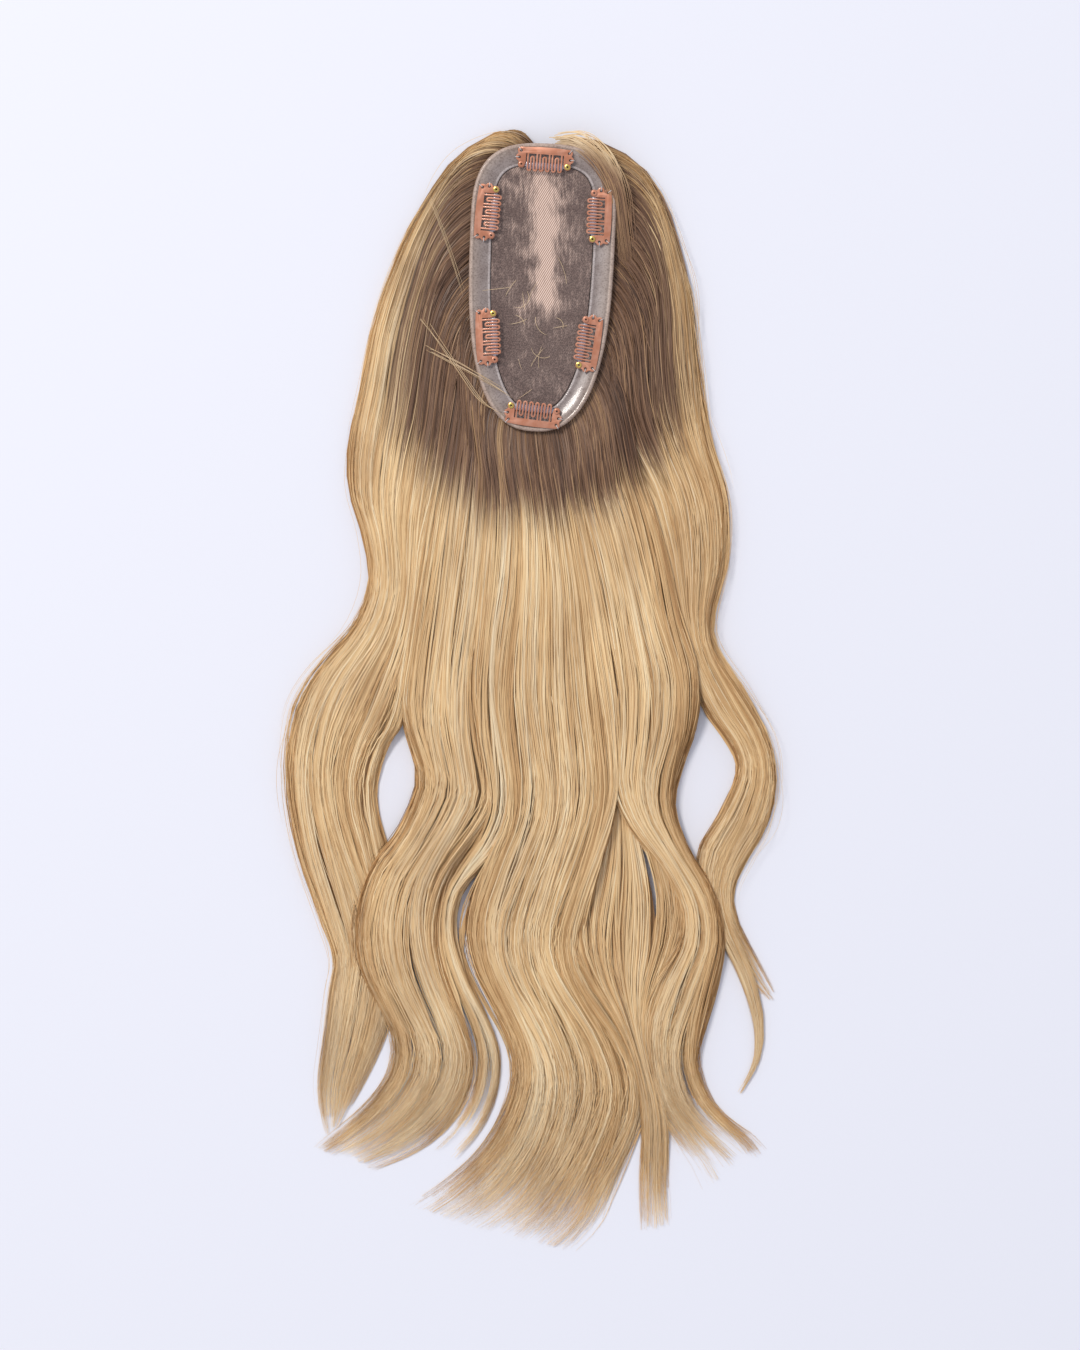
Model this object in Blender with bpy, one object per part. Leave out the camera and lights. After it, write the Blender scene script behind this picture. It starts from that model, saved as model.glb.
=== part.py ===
"""Hair topper, lying scalp side up on its own hair.

A clear skin rim carries a fine mesh panel and six sewn-on snap clips. The hair
grows from the base, folds round its front edge and falls in long wavy locks.
Metres, +Z up, +Y towards the front of the base, origin under the middle of the hair.
"""

import math

import bmesh
import bpy
import numpy as np
from mathutils import Matrix, Vector

MM = 0.001
TURN = 2 * math.pi

# Hair, as it lies
FALL_LENGTH = 546 * MM  # from the front fold to the longest ends
FALL_SPREAD = 240 * MM  # across the widest waves
HAIR_DEPTH = 12 * MM  # at the thickest part of the fall
BED_DEPTH = 8.4 * MM  # pressed flat under the base
LOCK_GAP = 0.9 * MM  # between neighbouring locks
LOCK_RISE_LENGTH = 45 * MM  # behind the base, from the bed up to the full depth
SECTIONS_PER_ROW = 2  # lofted sections for each row of a lock's table

# Base: skin rim and mesh panel
BASE_LENGTH = 140 * MM
BASE_WIDTH = 70.5 * MM
BASE_TURN = math.radians(-2.4)  # the base lies a little askew on the hair
BASE_SIDE_SHIFT = 4.6 * MM
FRONT_FOLD = 8.5 * MM  # hair folded forward of the base's front edge
WIDEST_SHARE = 0.28  # of the length, from the front
OUTLINE_POWER = 3.0  # of the length, in the outline's superellipse
FRONT_ROUNDNESS = 0.35  # of the width, a smaller power being squarer
BACK_ROUNDNESS = 0.40
RIM_WIDTH = 10.5 * MM
RIM_THICKNESS = 1.0 * MM
RIM_CREST = 1.5 * MM  # the rim's highest line, above its inner edge
PANEL_THICKNESS = 1.0 * MM
PANEL_DIP = 0.8 * MM  # the middle of the panel, below its edge
OUTLINE_POINTS = 48
FINE_OUTLINE = 8 * OUTLINE_POINTS  # where a clip finds its place on the rim

# Snap clip: a stamped plate with teeth, a riveted bar and a soft grip on the bar
PLATE_THICKNESS = 0.5 * MM
RAIL_WIDTH = 3.2 * MM
RAIL_BOW = 0.5 * MM  # the rail's outer edge is slightly round
TOOTH_PITCH = 1.49 * MM  # from leg to leg
TOOTH_WIRE = 0.75 * MM
TEETH_LENGTH = 8.7 * MM  # from the rail to the tips
WINDOW = 1.05 * MM  # between the rail and the inner bends
TEETH_RISE = 0.7 * MM  # the teeth arch over the grip
LOOPS = 3  # each loop of the wire is four legs, with two tips and one inner bend
EAR_SLOT = 0.62 * MM
EAR_LOBE = 1.75 * MM
SEWING_HOLE = 0.75 * MM
EYELET_BORE = 0.5 * MM
EYELET_BARREL = 0.75 * MM
EYELET_FLANGE = 1.45 * MM
FLANGE_THICKNESS = 0.3 * MM
BAR_WIDTH = 1.6 * MM
BAR_THICKNESS = 0.4 * MM
BAR_TAB = 1.6 * MM
GRIP_WIDTH = 3.6 * MM
GRIP_THICKNESS = 2.0 * MM
CLIP_LIFT = 0.4 * MM  # the plate, above the rim's crest
CLIP_INSET = 2.4 * MM  # the rail's ends, from the rim's outer edge
CLEARANCE = 0.3 * MM

# Where each clip is sewn: its direction from the middle of the base, in degrees
# from the right side towards the front, and the angle that it was sewn askew
CLIP_COLUMNS = ("heading", "askew")
CLIPS = {
    "clip_front": (90, -1.7),
    "clip_left_front": (134.5, -2.8),
    "clip_left_back": (218.5, -4.0),
    "clip_back": (268.5, -3.5),
    "clip_right_back": (320.5, 2.6),
    "clip_right_front": (45.5, -0.6),
}

# The rim's cross-section: place across it, from the inner edge, and height of the crest
RIM_PROFILE = ((0.0, 0.0), (0.28, 0.08), (0.62, 0.90), (0.86, 1.0), (1.0, 0.35))

# Locks of hair. Down is a percentage of FALL_LENGTH from the front fold, left and right
# are percentages of FALL_SPREAD from the middle, and height is one of the depth there:
# BED_DEPTH under the base, HAIR_DEPTH behind it.
LOCK_COLUMNS = ("down", "left", "right", "height")
LOCKS = {
    "hair_outer_left": (
        (0.0, -4.5, -1.6, 50),
        (1.2, -9.6, 3.0, 71),
        (2.2, -12.6, -7.7, 86),
        (4, -16.7, -12.2, 89),
        (8, -22.7, -15.9, 89),
        (12, -27.2, -18.3, 91),
        (16, -30.5, -19.9, 91),
        (20, -32.9, -21.3, 94),
        (24, -34.6, -22.8, 94),
        (28, -36.0, -24.0, 68),
        (32, -36.4, -25.0, 70),
        (36, -33.8, -25.6, 72),
        (40, -32.1, -26.0, 74),
        (44, -35.7, -26.4, 74),
        (48, -43.1, -26.0, 72),
        (52, -48.7, -26.2, 68),
        (56, -50.0, -30.6, 64),
        (60, -49.4, -31.6, 60),
        (64, -47.5, -29.9, 54),
        (68, -44.5, -35.4, 50),
        (72, -41.1, -36.0, 48),
        (76, -39.8, -32.1, 46),
        (80, -41.3, -28.3, 42),
        (84, -43.1, -29.5, 34),
        (87, -42.3, -34.1, 26),
        (89, -40.2, -37.4, 18),
    ),
    "hair_inner_left": (
        (2.2, -7.7, -4.9, 89),
        (4, -12.2, -8.1, 97),
        (8, -15.9, -9.8, 100),
        (12, -18.3, -10.2, 100),
        (16, -19.9, -10.2, 100),
        (20, -21.3, -9.8, 100),
        (24, -22.8, -8.9, 100),
        (28, -24.0, -11.0, 82),
        (32, -25.0, -14.0, 86),
        (36, -25.6, -16.1, 90),
        (40, -26.0, -16.9, 90),
        (44, -26.4, -16.5, 88),
        (48, -26.0, -15.2, 86),
        (52, -26.2, -13.0, 82),
        (56, -23.4, -9.3, 80),
        (60, -23.8, -8.5, 80),
        (64, -29.1, -13.0, 80),
        (68, -35.4, -19.9, 76),
        (72, -36.0, -20.3, 70),
        (76, -32.1, -17.3, 64),
        (80, -25.6, -15.2, 56),
        (84, -26.4, -16.3, 48),
        (88, -34.1, -21.5, 38),
        (90.5, -40.4, -29.5, 26),
        (91.5, -39.0, -35.4, 18),
    ),
    "hair_slim_left": (
        (2.2, -4.9, -2.0, 91),
        (4, -8.1, -3.7, 100),
        (8, -9.8, -4.5, 100),
        (12, -10.2, -4.7, 100),
        (16, -10.2, -4.9, 100),
        (20, -9.8, -5.1, 100),
        (24, -8.9, -5.5, 100),
        (28, -11.0, -7.7, 90),
        (32, -14.0, -10.6, 94),
        (36, -16.1, -12.6, 96),
        (40, -16.9, -13.2, 96),
        (44, -16.5, -13.0, 94),
        (48, -15.2, -12.0, 92),
        (52, -13.0, -8.6, 88),
        (56, -9.3, -5.1, 84),
        (60, -8.2, -4.5, 78),
        (64, -12.6, -7.3, 70),
        (68, -19.9, -13.8, 64),
        (72, -20.3, -16.2, 60),
        (76, -17.3, -13.6, 56),
        (80, -15.0, -8.5, 50),
        (84, -13.8, -5.9, 44),
        (88, -16.3, -8.1, 36),
        (92, -20.7, -15.0, 26),
        (94.5, -25.2, -21.5, 18),
    ),
    "hair_centre": (
        (2.2, -2.0, 6.5, 94),
        (4, -3.7, 7.3, 100),
        (8, -4.5, 7.7, 100),
        (12, -4.7, 7.9, 100),
        (16, -4.9, 7.9, 100),
        (20, -5.1, 7.7, 100),
        (24, -5.5, 7.3, 100),
        (28, -7.7, 6.7, 94),
        (32, -10.6, 7.5, 100),
        (36, -12.6, 8.5, 100),
        (40, -13.2, 9.6, 100),
        (44, -13.0, 10.8, 98),
        (48, -12.0, 11.6, 96),
        (52, -8.6, 13.0, 94),
        (56, -5.1, 14.4, 92),
        (60, -4.5, 14.8, 90),
        (64, -6.7, 14.2, 86),
        (68, -11.1, 11.8, 82),
        (72, -13.4, 10.0, 78),
        (76, -11.9, 12.2, 74),
        (80, -7.6, 16.9, 68),
        (84, -4.5, 20.3, 60),
        (88, -4.9, 20.8, 50),
        (92, -11.6, 19.5, 40),
        (96, -24.4, 14.0, 28),
        (98, -18.3, 10.8, 22),
        (100, -3.0, 6.5, 16),
    ),
    "hair_inner_right": (
        (2.2, 6.5, 10.8, 91),
        (4, 7.3, 15.0, 100),
        (8, 7.7, 15.2, 100),
        (12, 7.9, 15.4, 100),
        (16, 7.9, 15.0, 100),
        (20, 7.7, 14.4, 100),
        (24, 7.3, 13.8, 100),
        (28, 6.7, 15.0, 90),
        (32, 7.5, 16.5, 94),
        (36, 8.5, 17.1, 96),
        (40, 9.6, 17.5, 96),
        (44, 10.8, 18.3, 94),
        (48, 11.6, 19.1, 90),
        (52, 13.0, 19.9, 86),
        (56, 14.4, 20.1, 80),
        (60, 14.8, 21.0, 76),
        (64, 14.2, 26.2, 74),
        (68, 11.8, 30.1, 72),
        (72, 10.0, 28.5, 68),
        (76, 12.2, 24.0, 64),
        (80, 16.9, 22.2, 58),
        (84, 20.3, 23.4, 50),
        (88, 20.8, 26.4, 42),
        (92, 20.5, 26.8, 34),
        (96, 22.0, 26.4, 24),
        (98, 23.6, 26.0, 16),
    ),
    "hair_right": (
        (2.2, 10.8, 14.6, 89),
        (4, 15.0, 19.7, 97),
        (8, 15.2, 22.4, 100),
        (12, 15.4, 22.8, 100),
        (16, 15.0, 23.0, 100),
        (20, 14.4, 23.4, 100),
        (24, 13.8, 24.0, 100),
        (28, 15.0, 24.6, 82),
        (32, 16.5, 25.4, 86),
        (36, 17.1, 26.8, 88),
        (40, 17.5, 28.3, 88),
        (44, 18.3, 30.9, 86),
        (48, 19.1, 32.5, 84),
        (52, 19.9, 33.5, 82),
        (56, 20.1, 31.1, 82),
        (60, 21.0, 28.9, 82),
        (64, 26.2, 31.0, 80),
        (68, 30.1, 37.2, 74),
        (72, 28.5, 39.4, 66),
        (76, 24.0, 38.0, 58),
        (80, 22.2, 35.9, 50),
        (84, 23.4, 34.9, 42),
        (88, 26.4, 40.0, 34),
        (90, 30.9, 42.1, 28),
        (92, 33.9, 42.7, 22),
        (94.5, 41.5, 44.7, 16),
    ),
    "hair_outer_right": (
        (0.7, 5.3, 9.1, 50),
        (1.4, 3.9, 14.8, 71),
        (2.2, 14.6, 18.1, 86),
        (4, 19.7, 23.1, 89),
        (8, 22.4, 28.7, 89),
        (12, 22.8, 31.3, 91),
        (16, 23.0, 33.1, 91),
        (20, 23.4, 34.2, 94),
        (24, 24.0, 35.3, 97),
        (28, 24.6, 37.2, 70),
        (32, 25.4, 39.4, 72),
        (36, 26.8, 40.3, 72),
        (40, 28.3, 38.6, 70),
        (44, 30.9, 36.8, 66),
        (48, 32.5, 38.8, 60),
        (52, 34.8, 45.5, 54),
        (56, 41.5, 49.2, 50),
        (60, 40.3, 50.0, 48),
        (64, 35.5, 45.9, 46),
        (68, 37.2, 41.1, 42),
        (72, 39.4, 42.9, 38),
        (76, 41.3, 47.6, 32),
        (77.7, 42.7, 49.8, 26),
        (80, 44.5, 47.8, 22),
        (84, 45.3, 46.3, 18),
        (86, 43.1, 43.7, 14),
    ),
}
# Across a lock, from -1 to 1, and the share of its height there
LOCK_PROFILE = ((-1.0, 0.50), (-0.5, 1.0), (0.5, 1.0), (1.0, 0.50))

# Heights of the stack, from the floor up
PANEL_FLOOR = BED_DEPTH + CLEARANCE
PANEL_TOP = PANEL_FLOOR + PANEL_THICKNESS  # in the middle of the panel
RIM_INNER_TOP = PANEL_TOP + PANEL_DIP
CREST_TOP = RIM_INNER_TOP + RIM_CREST
BASE_MIDDLE_Y = FALL_LENGTH / 2 - FRONT_FOLD - BASE_LENGTH / 2


def clear_scene():
    for obj in list(bpy.data.objects):
        bpy.data.objects.remove(obj)


def material(name, colour, roughness, metallic=0.0):
    made = bpy.data.materials.new(name)
    made.use_nodes = True
    shader = made.node_tree.nodes["Principled BSDF"]
    shader.inputs["Base Color"].default_value = (*colour, 1)
    shader.inputs["Roughness"].default_value = roughness
    shader.inputs["Metallic"].default_value = metallic
    made.diffuse_color = (*colour, 1)
    return made


def add_object(name, bm, finish, parent=None):
    """A new object from a bmesh, with its faces turned outwards and its round sides smooth."""
    bm.normal_update()
    bmesh.ops.recalc_face_normals(bm, faces=bm.faces[:])
    mesh = bpy.data.meshes.new(name)
    bm.to_mesh(mesh)
    bm.free()
    mesh.shade_smooth()
    mesh.set_sharp_from_angle(angle=math.radians(40))
    mesh.materials.append(finish)
    obj = bpy.data.objects.new(name, mesh)
    bpy.context.scene.collection.objects.link(obj)
    obj.parent = parent
    return obj


def skin_between(bm, loops, around=False):
    """Faces between each loop of vertices and the next, and from the last to the first if around."""
    following = loops[1:] + loops[:1] if around else loops[1:]
    for lower, upper in zip(loops, following):
        for i in range(len(lower)):
            j = (i + 1) % len(lower)
            bm.faces.new((lower[i], lower[j], upper[j], upper[i]))


def loft(sections):
    """A closed solid through sections with equal numbers of points."""
    bm = bmesh.new()
    loops = [[bm.verts.new(p) for p in section] for section in sections]
    skin_between(bm, loops)
    bm.faces.new(loops[0])
    bm.faces.new(loops[-1])
    return bm


def extruded(outer, holes, low, high, place=Vector):
    """A flat outline with holes, extruded from low to high. Place turns (a, b, height) into a point."""
    bm = bmesh.new()
    for outline in [outer, *holes]:
        corners = [bm.verts.new((a, b, low)) for a, b in outline]
        for i, corner in enumerate(corners):
            bm.edges.new((corner, corners[(i + 1) % len(corners)]))
    bmesh.ops.triangle_fill(bm, use_beauty=True, use_dissolve=False, edges=bm.edges[:])
    made = bmesh.ops.extrude_face_region(bm, geom=bm.faces[:])
    lifted = [item for item in made["geom"] if isinstance(item, bmesh.types.BMVert)]
    bmesh.ops.translate(bm, verts=lifted, vec=(0, 0, high - low))
    for vertex in bm.verts:
        vertex.co = place(vertex.co)
    return bm


def arc(centre, radius, start, end, steps):
    """Points of an arc between two angles in degrees, ends included."""
    angles = [math.radians(start + (end - start) * i / steps) for i in range(steps + 1)]
    return [(centre[0] + radius * math.cos(a), centre[1] + radius * math.sin(a)) for a in angles]


def circle(centre, radius, steps):
    return arc(centre, radius, 0, 360, steps)[:-1]


def monotone(xs, ys, wanted):
    """A smooth curve through the points that never runs past them between two points."""
    step = np.diff(xs)
    slope = np.diff(ys) / step
    tangent = np.zeros(len(xs))
    for i in range(1, len(xs) - 1):
        if slope[i - 1] * slope[i] > 0:
            before, after = 2 * step[i] + step[i - 1], step[i] + 2 * step[i - 1]
            tangent[i] = (before + after) / (before / slope[i - 1] + after / slope[i])
    tangent[0], tangent[-1] = slope[0], slope[-1]
    k = np.clip(np.searchsorted(xs, wanted, side="right") - 1, 0, len(step) - 1)
    t = (wanted - xs[k]) / step[k]
    along = (t * t * (3 - 2 * t)) * (ys[k + 1] - ys[k]) + ys[k]
    return along + step[k] * t * (1 - t) * ((1 - t) * tangent[k] - t * tangent[k + 1])


def smoothstep(value):
    t = min(1.0, max(0.0, value))
    return t * t * (3 - 2 * t)


# Base


def outline_at(angle):
    """A point of the base's outer edge: angle 0 is its right side and a quarter turn its front."""
    across, along = math.cos(angle), math.sin(angle)
    if along > 0:
        reach, roundness = WIDEST_SHARE * BASE_LENGTH, FRONT_ROUNDNESS
    else:
        reach, roundness = -(1 - WIDEST_SHARE) * BASE_LENGTH, BACK_ROUNDNESS
    x = math.copysign(BASE_WIDTH / 2 * abs(across) ** (2 * roundness), across)
    y = (0.5 - WIDEST_SHARE) * BASE_LENGTH + reach * abs(along) ** (2 / OUTLINE_POWER)
    return Vector((x, y))


def even_outline(count):
    """Points evenly spaced round the base's outer edge, each with its inward normal."""
    fine = 12 * count
    dense = np.array([outline_at(TURN * i / fine) for i in range(fine + 1)])
    length = np.concatenate([[0], np.cumsum(np.linalg.norm(np.diff(dense, axis=0), axis=1))])
    at = np.arange(count) / count * length[-1]
    points = [Vector((np.interp(s, length, dense[:, 0]), np.interp(s, length, dense[:, 1]))) for s in at]
    found = []
    for i, point in enumerate(points):
        along = points[(i + 1) % count] - points[i - 1]
        found.append((point, Vector((-along.y, along.x)).normalized()))
    return found


def rim():
    """The skin ring: one closed band round the panel, raised towards a rolled outer edge."""
    bm = bmesh.new()
    edge = even_outline(OUTLINE_POINTS)
    loops = []
    for drop, profile in ((0, RIM_PROFILE), (RIM_THICKNESS, RIM_PROFILE[::-1])):
        for across, height in profile:
            inward = (1 - across) * RIM_WIDTH
            z = RIM_INNER_TOP + height * RIM_CREST - drop
            loops.append([bm.verts.new((*(point + normal * inward), z)) for point, normal in edge])
    skin_between(bm, loops, around=True)
    return bm


def panel():
    """The mesh panel: a thin sheet that dips to its middle, with its edge close inside the rim's."""
    bm = bmesh.new()
    edge = [point + normal * (RIM_WIDTH + CLEARANCE) for point, normal in even_outline(OUTLINE_POINTS)]
    shares = (1.0, 0.72, 0.36)
    sides = []
    for drop in (0, PANEL_THICKNESS):
        loops = []
        for share in shares:
            z = PANEL_TOP + PANEL_DIP * share * share - drop
            loops.append([bm.verts.new((*(point * share), z)) for point in edge])
        middle = bm.verts.new((0, 0, PANEL_TOP - drop))
        skin_between(bm, loops)
        inner = loops[-1]
        for i, corner in enumerate(inner):
            bm.faces.new((corner, inner[(i + 1) % len(inner)], middle))
        sides.append(loops[0])
    skin_between(bm, sides)
    return bm


# Snap clips, in their own frame: u along the clip, v from the rail's outer edge to the
# teeth, and height above the rim's crest

LEGS = 4 * LOOPS
FIRST_LEG = -(LEGS - 1) / 2 * TOOTH_PITCH
EAR_INNER = -FIRST_LEG + TOOTH_WIRE / 2 + EAR_SLOT
TIP_RADIUS = TOOTH_PITCH / 2 + TOOTH_WIRE / 2
BEND_RADIUS = TOOTH_PITCH / 2 - TOOTH_WIRE / 2
TIP_V = RAIL_WIDTH + TEETH_LENGTH - TIP_RADIUS
INNER_BEND_V = RAIL_WIDTH + WINDOW + TIP_RADIUS
PLATE_LOW = CLIP_LIFT
PLATE_HIGH = PLATE_LOW + PLATE_THICKNESS
BAR_HIGH = PLATE_LOW - CLEARANCE
BAR_LOW = BAR_HIGH - BAR_THICKNESS
RIVET_LOW = BAR_LOW - CLEARANCE - FLANGE_THICKNESS
# Holes of an ear: along the clip from the ear's inner side, and across from the rail's edge
EAR_HOLES = {
    "outer": (2.45 * MM, 2.0 * MM),
    "middle": (3.2 * MM, 5.25 * MM),
    "eyelet": (2.0 * MM, 8.65 * MM),
}
EYELET_U = EAR_INNER + EAR_HOLES["eyelet"][0]
EYELET_V = EAR_HOLES["eyelet"][1]


def leg(i):
    return FIRST_LEG + i * TOOTH_PITCH


def loop_outlines(first):
    """The outer side of one loop of teeth, from rail to rail, and the window that it encloses."""
    half = TOOTH_WIRE / 2
    tips = [(leg(first) + leg(first + 1)) / 2, (leg(first + 2) + leg(first + 3)) / 2]
    bend = ((leg(first + 1) + leg(first + 2)) / 2, INNER_BEND_V)
    outside = [(leg(first) - half, RAIL_WIDTH), (leg(first) - half, INNER_BEND_V)]
    outside += arc((tips[0], TIP_V), TIP_RADIUS, 180, 0, 5)
    outside += arc(bend, BEND_RADIUS, 180, 360, 3)
    outside += arc((tips[1], TIP_V), TIP_RADIUS, 180, 0, 5)
    outside += [(leg(first + 3) + half, INNER_BEND_V), (leg(first + 3) + half, RAIL_WIDTH)]
    window = [(leg(first) + half, RAIL_WIDTH), (leg(first) + half, INNER_BEND_V)]
    window += arc((tips[0], TIP_V), BEND_RADIUS, 180, 0, 3)
    window += arc(bend, TIP_RADIUS, 180, 360, 5)
    window += arc((tips[1], TIP_V), BEND_RADIUS, 180, 0, 3)
    window += [(leg(first + 3) - half, INNER_BEND_V), (leg(first + 3) - half, RAIL_WIDTH)]
    return outside, window


def ear_outline():
    """The scalloped ear at the clip's positive end, from the rail's inner side round to its outer edge."""
    hole = {name: (EAR_INNER + u, v) for name, (u, v) in EAR_HOLES.items()}
    around = [(EAR_INNER, RAIL_WIDTH), (EAR_INNER, hole["eyelet"][1] - EAR_LOBE)]
    around += arc(hole["eyelet"], EAR_LOBE, 170, -40, 6)
    around += arc(hole["middle"], EAR_LOBE, 72, -58, 4)
    around += arc(hole["outer"], EAR_LOBE, 42, -80, 4)
    return around


def plate():
    """The stamped plate: rail, two ears with three holes each, and the bent wire of the teeth."""
    ear = ear_outline()
    teeth, windows = [], []
    for k in range(LOOPS):
        outside, window = loop_outlines(4 * k)
        teeth += outside
        windows.append(window)
    rail_ends = ear[-1][0]
    shares = (0.6, 0.2, -0.2, -0.6)
    rail_edge = [(rail_ends * s, ear[-1][1] - RAIL_BOW * (1 - s * s)) for s in shares]
    mirrored_ear = [(-u, v) for u, v in reversed(ear)]
    outer = teeth + ear + rail_edge + mirrored_ear
    radius = {"outer": SEWING_HOLE, "middle": SEWING_HOLE, "eyelet": EYELET_BARREL + CLEARANCE}
    holes = [
        circle((side * (EAR_INNER + u), v), radius[name], 8)
        for side in (1, -1)
        for name, (u, v) in EAR_HOLES.items()
    ]

    def arched(point):
        inside = abs(point.x) < EAR_INNER - EAR_SLOT / 2
        climb = (point.y - RAIL_WIDTH) / (INNER_BEND_V - RAIL_WIDTH)
        return point + Vector((0, 0, TEETH_RISE * min(1.0, max(0.0, climb)) if inside else 0))

    return extruded(outer, windows + holes, PLATE_LOW, PLATE_HIGH, arched)


def bar():
    """The flat bar under the teeth, riveted to the ears at its two round tabs."""
    waist = math.degrees(math.asin(BAR_WIDTH / 2 / BAR_TAB))
    outer = arc((-EYELET_U, EYELET_V), BAR_TAB, waist, 360 - waist, 8)
    outer += arc((EYELET_U, EYELET_V), BAR_TAB, 180 + waist, 540 - waist, 8)
    holes = [circle((side * EYELET_U, EYELET_V), EYELET_BARREL + CLEARANCE, 8) for side in (1, -1)]
    return extruded(outer, holes, BAR_LOW, BAR_HIGH)


def grip():
    """The soft flattened sleeve on the bar, between the ears."""
    middle = (BAR_LOW + BAR_HIGH) / 2
    half_slot = (BAR_WIDTH / 2 + CLEARANCE, BAR_THICKNESS / 2 + CLEARANCE)
    outer = [(GRIP_WIDTH / 2 * a, GRIP_THICKNESS / 2 * b) for a, b in circle((0, 0), 1, 12)]
    slot = [(half_slot[0] * a, half_slot[1] * b) for a, b in ((1, 1), (-1, 1), (-1, -1), (1, -1))]
    half_length = EAR_INNER - CLEARANCE

    def lengthwise(point):
        return Vector((point.z, EYELET_V + point.x, middle + point.y))

    return extruded(outer, [slot], -half_length, half_length, lengthwise)


def eyelet():
    """The hollow rivet that holds an ear to the bar: a barrel between two flanges."""
    top_flange = PLATE_HIGH + CLEARANCE
    low_flange = BAR_LOW - CLEARANCE
    profile = [
        (EYELET_BORE, top_flange + FLANGE_THICKNESS),
        (EYELET_FLANGE, top_flange + FLANGE_THICKNESS / 2),
        (EYELET_FLANGE, top_flange),
        (EYELET_BARREL, top_flange),
        (EYELET_BARREL, low_flange),
        (EYELET_FLANGE, low_flange),
        (EYELET_BORE, RIVET_LOW),
    ]
    steps = 10
    bm = bmesh.new()
    loops = []
    for radius, z in profile:
        loops.append([bm.verts.new((*point, z)) for point in circle((0, 0), radius, steps)])
    skin_between(bm, loops, around=True)
    return bm


def rim_top_at(point):
    """Height of the rim's top, or of its inner edge over the panel, at a point of the base's plan."""
    from_edge = min((point - spot).length for spot, _ in even_outline(FINE_OUTLINE))
    places, heights = zip(*RIM_PROFILE)
    return RIM_INNER_TOP + float(np.interp(1 - from_edge / RIM_WIDTH, places, heights)) * RIM_CREST


def lowest_points():
    """Points of a clip's underside in its own frame: round both rivets, and the four corners of the grip."""
    half_grip = EAR_INNER - CLEARANCE
    rivet = [Vector((*spot, BAR_LOW - CLEARANCE)) for spot in circle((0, EYELET_V), EYELET_FLANGE, 8)]
    rivet += [Vector((*spot, RIVET_LOW)) for spot in circle((0, EYELET_V), EYELET_BORE, 8)]
    points = [spot + Vector((side * EYELET_U, 0, 0)) for side in (1, -1) for spot in rivet]
    for side in (1, -1):
        points.append(Vector((side * half_grip, EYELET_V, (BAR_LOW + BAR_HIGH - GRIP_THICKNESS) / 2)))
        points.append(Vector((side * half_grip, EYELET_V - GRIP_WIDTH / 2, (BAR_LOW + BAR_HIGH) / 2)))
    return points


def place_clip(name, heading, askew, base, finishes):
    """One clip on the rim: its empty stands on the rim's edge and faces the panel."""
    direction = Vector((math.cos(math.radians(heading)), math.sin(math.radians(heading))))
    edge = even_outline(FINE_OUTLINE)
    point, normal = min(edge, key=lambda item: -item[0].normalized().dot(direction))
    inward = Matrix.Rotation(math.radians(askew), 2) @ normal
    clip = bpy.data.objects.new(name, None)
    bpy.context.scene.collection.objects.link(clip)
    clip.parent = base
    start = point + inward * CLIP_INSET
    along = Vector((inward.y, -inward.x))
    seats = [rim_top_at(start + along * p.x + inward * p.y) - p.z for p in lowest_points()]
    clip.location = (start.x, start.y, max(CREST_TOP, max(seats) + CLEARANCE))
    clip.rotation_euler.z = math.atan2(inward.y, inward.x) - math.pi / 2
    add_object(f"{name}_plate", plate(), finishes["plate"], clip)
    add_object(f"{name}_bar", bar(), finishes["bar"], clip)
    add_object(f"{name}_grip", grip(), finishes["grip"], clip)
    for side, label, finish in ((-1, "brass", "brass"), (1, "painted", "plate")):
        rivet = add_object(f"{name}_eyelet_{label}", eyelet(), finishes[finish], clip)
        rivet.location = (side * EYELET_U, EYELET_V, 0)


# Hair


def lock_shape(name, down):
    """A lock's left and right edges and its height, as its table gives them, at these distances down."""
    table = dict(zip(LOCK_COLUMNS, np.array(LOCKS[name], float).T))
    return [monotone(table["down"], table[column], down) for column in LOCK_COLUMNS[1:]]


def parted(edge, side, neighbour, down):
    """A lock's edge, moved halfway back wherever the neighbour's smooth edge would cross it."""
    reach = [row[0] for row in LOCKS[neighbour]]
    other = lock_shape(neighbour, down)[0 if side > 0 else 1]
    crossing = (down >= reach[0]) & (down <= reach[-1]) & (side * (edge - other) > 0)
    return np.where(crossing, (edge + other) / 2, edge)


def lock_sections(name):
    """Cross-sections of a lock, at each row of its table and between, pressed flat under the base."""
    order = list(LOCKS)
    place = order.index(name)
    rows_down = [row[0] for row in LOCKS[name]]
    last = len(rows_down) - 1
    down = np.interp(np.linspace(0, last, SECTIONS_PER_ROW * last + 1), range(last + 1), rows_down)
    left, right, height = lock_shape(name, down)
    if place > 0:
        left = parted(left, -1, order[place - 1], down)
    if place < len(order) - 1:
        right = parted(right, 1, order[place + 1], down)
    base_back = BASE_MIDDLE_Y - BASE_LENGTH / 2
    sections = []
    for d, a, b, h in zip(down / 100, left / 100, right / 100, height / 100):
        y = FALL_LENGTH * (0.5 - d)
        x_left = a * FALL_SPREAD + LOCK_GAP / 2
        x_right = b * FALL_SPREAD - LOCK_GAP / 2
        free = smoothstep((base_back - y) / LOCK_RISE_LENGTH)
        top = h * (BED_DEPTH + free * (HAIR_DEPTH - BED_DEPTH))
        section = [(x_left, y, 0), (x_right, y, 0)]
        for across, share in reversed(LOCK_PROFILE):
            x = (x_left + x_right) / 2 + across * (x_right - x_left) / 2
            section.append((x, y, top * share))
        sections.append(section)
    return sections


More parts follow.
